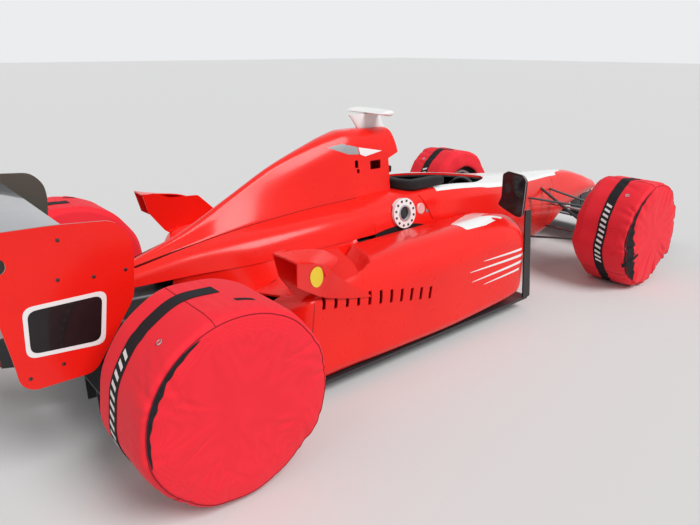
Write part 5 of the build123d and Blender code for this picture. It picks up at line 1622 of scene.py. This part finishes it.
@dataclass
class Cockpit:
    """The driver's place: padded headrest, belts, and the steering wheel's grips and buttons.

    Attributes:
        rest: x and y of the headrest's corners.
        rest_z: height of its middle.
        rest_half: half its thickness.
        shoulder: points of the left shoulder strap.
        lap: points of the left lap strap.
        wheel_centre: centre of the steering wheel.
        column_tilt: how far its axis falls forward, in degrees.
        wheel_radius: radius of its grips.
        knob: profile of a button.
        knobs: each kind's label, finish and places across and up the hub.
    """

    rest: Chain = (
        (0.085, 0.209), (-0.150, 0.203), (-0.178, 0.140), (-0.182, -0.140), (-0.150, -0.203), (0.085, -0.209))
    rest_z: float = 0.7195
    rest_half: float = 0.0265
    shoulder: Chain = (
        (-0.098, 0.070, 0.640), (-0.066, 0.072, 0.612), (-0.022, 0.072, 0.500), (0.040, 0.060, 0.330),
        (0.095, 0.040, 0.200), (0.150, 0.022, 0.165))
    lap: Chain = ((0.110, 0.165, 0.150), (0.135, 0.110, 0.158), (0.165, 0.030, 0.160))
    wheel_centre: tuple[float, float, float] = (0.512, 0.0, 0.524)
    column_tilt: float = 14.0
    wheel_radius: float = 0.112
    knob: Chain = ((0.0, 0.0065), (0.007, 0.0062), (0.009, 0.0045), (0.009, 0.0))
    knobs: tuple[tuple[str, Finish, Chain], ...] = (
        ("yellow", YELLOW_INK, ((-0.062, 0.012), (0.030, -0.020))),
        ("red", RED, ((0.062, 0.012), (-0.030, -0.020))),
        ("white", WHITE, ((-0.084, -0.010), (0.084, -0.010), (0.0, -0.034))),
    )

    def build(self) -> None:
        """Make every fitting."""
        self._headrest()
        self._belts()
        self._steering()

    def _headrest(self) -> None:
        """Carry a soft squarish section round the back of the opening."""
        corners = np.array(self.rest)[None]
        path = rounded_path(corners, [0.03, 0.05, 0.05, 0.03], arc=8, run=8)[0]
        line = grid_of(path[:, 0], path[:, 1], self.rest_z)
        count = np.arange(len(line))
        half = self.rest_half * np.clip(0.55 + 0.2 * np.minimum(count, count[::-1]), 0, 1) ** 0.5
        cushion = tube(line, half, sides=28, power=4.5)
        pad = make_piece("headrest_pad", [cushion], [SUEDE], ["headrest"], crease=60)
        seam = tube((line + np.array((0, 0, 0.0262)))[2:-2], 0.0011, sides=6)
        make_piece("headrest_seam", [seam], [WEBBING_AND_SLIT_SHADE])

    def _belts(self) -> None:
        """Run the shoulder and lap straps to the buckle as flat bands, with softened bends."""
        straps, kernel = [], np.ones(5) / 5
        for sign in (-1, 1):
            for points, up in ((self.shoulder, (1.0, 0.0, 0.5)), (self.lap, (0.0, 0.0, 1.0))):
                chain = np.array(points) * (1, sign, 1)
                walk = np.linspace(0, len(chain) - 1, 40)
                dense = (np.interp(walk, np.arange(len(chain)), line) for line in chain.T)
                soft = [np.convolve(np.pad(line, 2, mode="edge"), kernel, "valid") for line in dense]
                straps.append(tube(np.stack(soft, -1), 0.022, up=up, sides=12, flat=0.07, power=6))
        make_piece("belts", straps, [BELT])
        profile = ((-0.006, 0.0), (-0.006, 0.026), (0.004, 0.028), (0.010, 0.022), (0.012, 0.0))
        buckle = lathe(profile, (0.168, 0, 0.166), (0.3, 0, 1), 28)
        make_piece("belt_buckle", [buckle], [ALLOY])

    def _steering(self) -> None:
        """Thicken the wheel's grips and set its screen and buttons on the hub."""
        sine, cosine = math.sin(math.radians(self.column_tilt)), math.cos(math.radians(self.column_tilt))
        away, across, up = np.array(((cosine, 0, -sine), (0, 1.0, 0), (sine, 0, cosine)))
        centre, grips = np.array(self.wheel_centre), []
        bulge = 0.0132 + 0.0018 * np.cos(np.linspace(-9, 9, 26))
        for middle in (0, math.pi):
            angle = middle + np.linspace(-0.72, 0.72, 26)[:, None]
            path = centre + self.wheel_radius * (np.cos(angle) * across + np.sin(angle) * up)
            grips.append(tube(path, bulge, up=away, sides=14, flat=1.15))
        make_piece("steering_grips", grips, [SUEDE], body="steering_wheel")
        outline = filled_corners([(-0.034, 0.004), (0.034, 0.004), (0.034, 0.030), (-0.034, 0.030)], 0.004)
        rim = centre - away * 0.0075 + outline[:, :1] * across + outline[:, 1:] * up
        make_piece("steering_screen", [slab(rim, -away, 0.003)], [DARK_GLASS_AND_REFLECTION], body="steering_wheel")
        hub = centre - away * 0.004
        for label, finish, places in self.knobs:
            heads = [lathe(self.knob, hub + y * across + z * up, -away, 16) for y, z in places]
            make_piece(f"steering_buttons_{label}", heads, [finish], body="steering_wheel")


@dataclass
class CameraPod:
    """The white T above the airbox: a raked post and a bar with rounded ends.

    Attributes:
        bar: x and z of the bar's middle.
        bar_size: half its depth, length and height.
        lens: profile of the lens in each end of the bar.
    """

    bar: tuple[float, float] = (-0.262, 1.0935)
    bar_size: tuple[float, float, float] = (0.052, 0.150, 0.0205)
    lens: Chain = ((-0.006, 0.010), (0.003, 0.010), (0.004, 0.008), (0.001, 0.0))

    def build(self) -> None:
        """Make the post and the bar as one piece, and a lens at each end of the bar."""
        half_x, half_y, half_z = self.bar_size
        y = np.sin(np.linspace(-math.pi / 2, math.pi / 2, 31))[:, None] * half_y
        grow = (1 - np.abs(y / half_y) ** 12) ** 0.3
        angle = np.linspace(0, 2 * math.pi, 28, endpoint=False)
        cosine, sine = np.cos(angle), np.sin(angle)
        x = self.bar[0] + half_x * grow * cosine - 0.010 * np.abs(y / half_y)
        z = self.bar[1] + half_z * grow * sine * ((1.25 + cosine) / 2.1) ** 0.8
        bar = Patch(grid_of(x, y, z), wrap_columns=True)
        up = np.linspace(0, 1, 12)[:, None]
        x = -0.258 - 0.050 * up + (0.094 + 0.004 * up + 0.010 * up**3) * cosine
        y = (0.016 - 0.004 * up) * np.sign(sine) * np.abs(sine) ** 0.7
        post = capped(grid_of(x, y, 1.004 + 0.082 * up))
        make_piece("camera_shell", [bar, post], [WHITE], ["camera_pod"])
        x, z = self.bar[0] + 0.046, self.bar[1] - 0.002
        lenses = [lathe(self.lens, (x, y, z), (1, 0, 0), 20) for y in (-0.105, 0.105)]
        make_piece("camera_lenses", lenses, [DARK_GLASS_AND_REFLECTION])


@dataclass
class RearWing:
    """What is fastened to the rear wing: number boards, screws and a lip on the flap.

    Attributes:
        outline: corners of an end plate in X and Z.
        middle: x and z of the point from which its grid spreads.
        out: distance of its outer face from the car's middle.
        thickness: its thickness.
        board: corners of the blank number board in X and Z.
        layers: name, border left free, lift and finish of the board's layers.
        screws: X and Z of the end plate's screws.
        screw: profile of a screw's head.
        lip: x, half length and z of the lip.
    """

    outline: Chain = (
        (-1.820, 0.890), (-1.775, 0.836), (-1.767, 0.780), (-1.785, 0.617), (-1.943, 0.386),
        (-2.136, 0.389), (-2.168, 0.418), (-2.176, 0.505), (-2.194, 0.640), (-2.210, 0.772),
        (-2.146, 0.790), (-2.146, 0.830), (-2.226, 0.850), (-2.249, 0.876), (-2.249, 0.913),
        (-2.000, 0.906))
    middle: tuple[float, float] = (-1.980, 0.812)
    out: float = 0.503
    thickness: float = 0.006
    board: Chain = ((-2.126, 0.668), (-1.872, 0.664), (-1.900, 0.478), (-2.138, 0.500))
    layers: tuple[tuple[str, float, float, Finish], ...] = (
        ("border", 0.0, 0.0010, WHITE), ("board", 0.016, 0.0016, BLACK_INK))
    screws: Chain = (
        (-2.013, 0.733), (-1.906, 0.718), (-1.803, 0.718), (-2.037, 0.449), (-2.138, 0.432),
        (-1.995, 0.858), (-2.168, 0.872))
    screw: Chain = ((0.0, 0.0062), (0.0018, 0.0058), (0.0026, 0.003), (0.0026, 0.0))
    lip: tuple[float, float, float] = (-2.2375, 0.494, 0.912)

    def _plate(self, side: Side) -> None:
        """Make an end plate with rounded corners, painted outside and bare inside."""
        y = side.value * self.out
        rim, middle = upright(filled_corners(self.outline, 0.034, arc=7), y), upright(np.array(self.middle), y)
        face = middle + (rim - middle)[None] * np.linspace(0, 1, 9)[:, None, None]
        inside = face[::-1] - np.array((0, side.value * self.thickness, 0))
        plate = Patch(np.concatenate([face, inside]), wrap_columns=True, inner_from=len(face) - 1)
        name, replaced = f"end_plate_{side.word}", [f"rear_endplate_{side.word}"]
        make_piece(name, [plate], [RED, OLIVE_CARBON], replaced, crease=30)

    def build(self) -> None:
        """Dress both end plates and the flap."""
        heads = []
        ring = filled_corners(self.board, 0.032)
        middle = ring.mean(0)
        size = np.abs(ring - middle).max(0)
        for side in Side:
            self._plate(side)
            outward = (0, side.value, 0)
            for name, free, lift, finish in self.layers:
                rim = middle + (ring - middle) * (size - free) / size
                layer = slab(upright(rim, side.value * (self.out + lift)), outward, lift - 0.0002)
                make_piece(f"number_{name}_{side.word}", [layer], [finish])
            y = side.value * (self.out - 0.0001)
            heads += [lathe(self.screw, (x, y, z), outward, 14) for x, z in self.screws]
        make_piece("end_plate_screws", heads, [DARK_STEEL])
        x, half, z = self.lip
        lip = grid_of(x, np.linspace(-half, half, 12), z)
        lip = tube(lip, 0.0016, up=(0, 0, 1), sides=8, flat=4.5, power=6)
        make_piece("flap_lip", [lip], [CARBON])


@dataclass(frozen=True)
class Turned:
    """A turned fitting beside a fuel filler.

    Attributes:
        name: the piece that it goes into.
        finish: its finish.
        slot: the record's material slot; not used.
        profile: distance out and radius.
        segments: steps round its axis.
        shift: how far ahead of and above the filler's centre it stands.
        lift: how far out of the flank it stands.
        count: how many stand in a circle round that place.
    """

    name: str
    finish: Finish
    slot: str
    profile: Chain
    segments: int
    shift: tuple[float, float] = (0.0, 0.0)
    lift: float = 0.0
    count: int = 1


@dataclass
class Fillers:
    """Bolts, sight glass and collar of each fuel filler, and the small cap and latch ahead.

    Attributes:
        centre: centre of the left filler on the flank.
        normal: y and z of the flank's normal there.
        circle: radius of the circle of bolts.
        kinds: the turned fittings.
    """

    centre: tuple[float, float, float] = (-0.270, 0.27046, 0.600)
    normal: tuple[float, float] = (0.98805, 0.15413)
    circle: float = 0.064
    kinds: tuple[Turned, ...] = (
        Turned("filler_bolts", DARK_STEEL, "steel", ((0, 0.0066), (0.0035, 0.0062), (0.0045, 0.0)), 8,
               lift=0.0138, count=12),
        Turned("filler_glasses", DARK_GLASS_AND_REFLECTION, "carbon", ((0.0, 0.0335), (0.0015, 0.032), (0.003, 0.0)), 32,
               lift=0.002),
        Turned("filler_collars", ALLOY, "alloy",
               ((0.010, 0.0335), (0.0165, 0.035), (0.0165, 0.042), (0.0135, 0.044)), 40),
        Turned("overflow_caps", BLUSH, "red_paint",
               ((-0.004, 0.030), (0.003, 0.030), (0.006, 0.026), (0.004, 0.020), (0.008, 0.0)), 32,
               shift=(0.130, 0.002), lift=0.0005),
        Turned("cover_latches", STEEL, "steel",
               ((-0.002, 0.012), (0.004, 0.011), (0.005, 0.006), (0.003, 0.0)), 20,
               shift=(0.182, -0.018), lift=0.001),
    )

    def build(self) -> None:
        """Dress both sides."""
        for kind in self.kinds:
            made = [part for side in Side for part in self._turned(kind, side)]
            make_piece(kind.name, made, [kind.finish])

    def _turned(self, kind: Turned, side: Side) -> list[Patch]:
        """Return one kind's fittings on one side."""
        sign, (y, z) = side.value, self.normal
        out, up, ahead = np.array((0, sign * y, z)), np.array((0, -sign * z, y)), np.array((1.0, 0, 0))
        place = np.array(self.centre) * (1, sign, 1) + np.array((kind.shift[0], 0, kind.shift[1]))
        place = place + out * kind.lift
        if kind.count == 1:
            return [lathe(kind.profile, place, out, kind.segments)]
        turns = 2 * math.pi * (np.arange(kind.count)[:, None] + 0.5) / kind.count
        places = place + self.circle * (np.cos(turns) * ahead + np.sin(turns) * up)
        return [lathe(kind.profile, at, out, kind.segments) for at in places]


@dataclass
class Boards:
    """The upright boards at the pods' front corners, leaning back towards the top.

    Attributes:
        corners: corners of a board in X and Z.
        out: distance from the car's middle to its inner face.
        thickness: its thickness.
    """

    corners: Chain = ((0.330, 0.0765), (0.394, 0.0765), (0.318, 0.597), (0.268, 0.597))
    out: float = 0.640
    thickness: float = 0.008

    def build(self) -> None:
        """Make both boards."""
        ring, plates = filled_corners(self.corners, 0.012, arc=4), []
        for side in Side:
            rim = upright(ring, side.value * (self.out + self.thickness))
            plates.append(slab(rim, (0, side.value, 0), self.thickness, rings=4))
        make_piece("upright_boards", plates, [BLACK_INK], ["bargeboards"])


@dataclass
class Mirrors:
    """Mirrors whose black housings stand on the pods' shoulders, glass to the rear.

    A housing is its rear outline, carried forward and drawn in by a quarter ellipse.

    Attributes:
        outline: y and z of the housing's rear rim.
        glass: y and z of the glass.
        rear: x of the rear rim.
        depth: how far the housing reaches forward.
        pale: first and last point of the rim that carries the painted highlight.
    """

    outline: Chain = (
        (0.500, 0.774), (0.532, 0.794), (0.622, 0.787), (0.648, 0.762), (0.646, 0.650), (0.642, 0.564),
        (0.606, 0.560), (0.515, 0.590), (0.484, 0.606), (0.503, 0.650))
    glass: Chain = (
        (0.508, 0.768), (0.534, 0.784), (0.618, 0.778), (0.638, 0.758), (0.636, 0.664), (0.512, 0.660))
    rear: float = 0.246
    depth: float = 0.052
    pale: tuple[int, int] = (9, 36)

    def build(self) -> None:
        """Make the housings, the painted highlight along part of each rim, and the near-black glass, a painted
        reflection, on both sides.
        """
        shells, rims, glasses = [], [], []
        ring, pane = filled_corners(self.outline, 0.012, arc=5), filled_corners(self.glass, 0.010, arc=5)
        turn = np.linspace(0, math.pi / 2, 9)
        flat = shrunk(ring, 0.45 + 0.55 * np.cos(turn))
        for side in Side:
            mirror = np.array((side.value, 1))
            shells.append(capped(along_x(self.rear + self.depth * np.sin(turn), flat * mirror)))
            # A pale tube along one stretch of the rim: painted highlight on the housing's edge.
            edge = ring[slice(*self.pale)] * mirror
            rims.append(tube(grid_of(self.rear, edge[:, 0], edge[:, 1]), 0.0016, up=(1, 0, 0), sides=8))
            # The near-black mirror glass is a painted reflection.
            rim = grid_of(self.rear - 0.0012, side.value * pane[:, 0], pane[:, 1])
            glasses.append(slab(rim, (-1, 0, 0), 0.003))
        make_piece("mirror_shells", shells, [BLACK_INK], ["mirrors"])
        make_piece("mirror_rims", rims, [SILVER_INK_AND_HIGHLIGHT])
        make_piece("mirror_glasses", glasses, [DARK_GLASS_AND_REFLECTION])


@dataclass
class Studio:
    """Camera, floor and lights.

    Attributes:
        camera_at: place of the camera.
        turn: its yaw, pitch and roll in degrees.
        lens: its focal length in millimetres.
        skies: colour and strength of the sky that lights the car, then of the sky that is seen.
        lamps: name, turn in degrees, energy and spread of each lamp.
    """

    camera_at: tuple[float, float, float] = (-2.45007, -2.41063, 1.41322)
    turn: tuple[float, float, float] = (49.638, -19.665, 0.138)
    lens: float = 31.06
    skies: tuple[tuple[Colour, float], ...] = (((1, 1, 1), 0.38), ((0.93, 0.94, 0.95), 0.9))
    lamps: tuple[tuple[str, tuple[float, ...], float, float], ...] = (
        ("key", (42, 0, 12), 2.7, 34), ("fill", (58, 0, -95), 0.5, 60))

    def camera(self) -> None:
        """Place the camera where the photograph was taken from."""
        yaw, pitch, roll = (math.radians(a) for a in self.turn)
        ahead = Vector((math.cos(pitch) * math.cos(yaw), math.cos(pitch) * math.sin(yaw), math.sin(pitch)))
        right = ahead.cross(Vector((0, 0, 1))).normalized()
        up = right.cross(ahead)
        right, up = right * math.cos(roll) + up * math.sin(roll), up * math.cos(roll) - right * math.sin(roll)
        data = bpy.data.cameras.new("camera")
        data.lens, data.sensor_width, data.clip_end = self.lens, 36.0, 200.0
        camera = linked("camera", data)
        turn = Matrix((right, up, -ahead)).transposed().to_4x4()
        camera.matrix_world = Matrix.Translation(self.camera_at) @ turn
        bpy.context.scene.camera = camera

    def floor(self) -> None:
        """Lay a plain pale floor."""
        mesh = bpy.data.meshes.new("studio_floor")
        mesh.from_pydata([(-60, -60, 0), (60, -60, 0), (60, 60, 0), (-60, 60, 0)], [], [(0, 1, 2, 3)])
        finish = bpy.data.materials.new("studio_floor")
        finish.use_nodes = True
        shader = finish.node_tree.nodes["Principled BSDF"]
        shader.inputs["Base Color"].default_value = (0.62, 0.62, 0.62, 1)
        shader.inputs["Roughness"].default_value = 0.9
        mesh.materials.append(finish)
        linked("studio_floor", mesh)

    def light(self) -> None:
        """Light the car evenly from a pale sky, with one soft lamp from the open side."""
        world = bpy.data.worlds.new("studio")
        world.use_nodes = True
        bpy.context.scene.world = world
        nodes, links = world.node_tree.nodes, world.node_tree.links
        nodes.clear()
        path = nodes.new("ShaderNodeLightPath")
        seen, any_ray = (nodes.new("ShaderNodeMath") for _ in range(2))
        seen.operation = any_ray.operation = "MAXIMUM"
        links.new(path.outputs["Is Camera Ray"], seen.inputs[0])
        links.new(path.outputs["Is Glossy Ray"], seen.inputs[1])
        links.new(seen.outputs[0], any_ray.inputs[0])
        links.new(path.outputs["Is Transmission Ray"], any_ray.inputs[1])
        mix, out = nodes.new("ShaderNodeMixShader"), nodes.new("ShaderNodeOutputWorld")
        links.new(any_ray.outputs[0], mix.inputs[0])
        for socket, (colour, strength) in enumerate(self.skies, start=1):
            sky = nodes.new("ShaderNodeBackground")
            sky.inputs["Color"].default_value = (*colour, 1)
            sky.inputs["Strength"].default_value = strength
            links.new(sky.outputs[0], mix.inputs[socket])
        links.new(mix.outputs[0], out.inputs[0])
        for name, turn, energy, spread in self.lamps:
            lamp = bpy.data.lights.new(name, "SUN")
            lamp.energy, lamp.angle = energy, math.radians(spread)
            linked(name, lamp).rotation_euler = [math.radians(a) for a in turn]
        bpy.context.scene.view_settings.view_transform = "Standard"


NODE_FINISHES: dict[str, Finish] = {
    "front_wing": CARBON, "floor": CARBON, "diffuser": CARBON, "engine": CASTING, "gearbox": CASTING,
    "rear_crash_structure": CARBON, "rain_light": LAMP, "rear_wing": GREY_PAINT,
    "front_suspension": CARBON, "steering_rack": STEEL, "steering_wheel": CARBON,
    "driveshaft_right": DARK_STEEL, "driveshaft_left": DARK_STEEL,
    "knuckle_right": ALLOY, "knuckle_left": ALLOY, "rear_uprights": ALLOY,
    "rear_suspension": CARBON, "fuel_fillers": WHITE, "seat": CARBON,
}


def dress_nodes(nodes: dict[str, bpy.types.Object]) -> None:
    """Give every node that stays its own finish.

    Args:
        nodes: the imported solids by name.
    """
    finishes = dict(NODE_FINISHES)
    for end in End:
        for side in Side:
            finishes[f"rim_{end.value}_{side.word}"] = ALLOY
            finishes[f"tyre_{end.value}_{side.word}"] = RUBBER
    for name, finish in finishes.items():
        node = nodes[name]
        node.data.materials.clear()
        node.data.materials.append(finish.material())


def main() -> None:
    """Build the scene in order."""
    logging.basicConfig(level=logging.INFO, format="%(name)s: %(message)s")
    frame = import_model()
    studio = Studio()
    studio.camera()
    dress_nodes(frame["nodes"])
    tub, hood = Tub(), EngineCover()
    tub.build()
    hood.build()
    pods = {side: Sidepod(side) for side in Side}
    for pod in pods.values():
        pod.build()
    make_piece("radiator_cores", [pod.radiator() for pod in pods.values()], [CORE], ["radiators"])
    FlipUps().build()
    FlankPaint().build(pods, hood, tub)
    for end, band_out, slit, loose in (
        (End.REAR, 0.757, (114.0, 192.0), (0.010, 1.0, 0.0, 1.0)),
        (End.FRONT, 0.745, (108.0, 238.0), (0.046, 2.2, 0.036, 1.9)),
    ):
        for side in Side:
            Warmer(end, side, band_out, slit, *loose).build()
    for fitting in (Cockpit(), CameraPod(), RearWing(), Fillers(), Boards(), Mirrors()):
        fitting.build()
    studio.floor()
    studio.light()


if __name__ == "__main__":
    main()
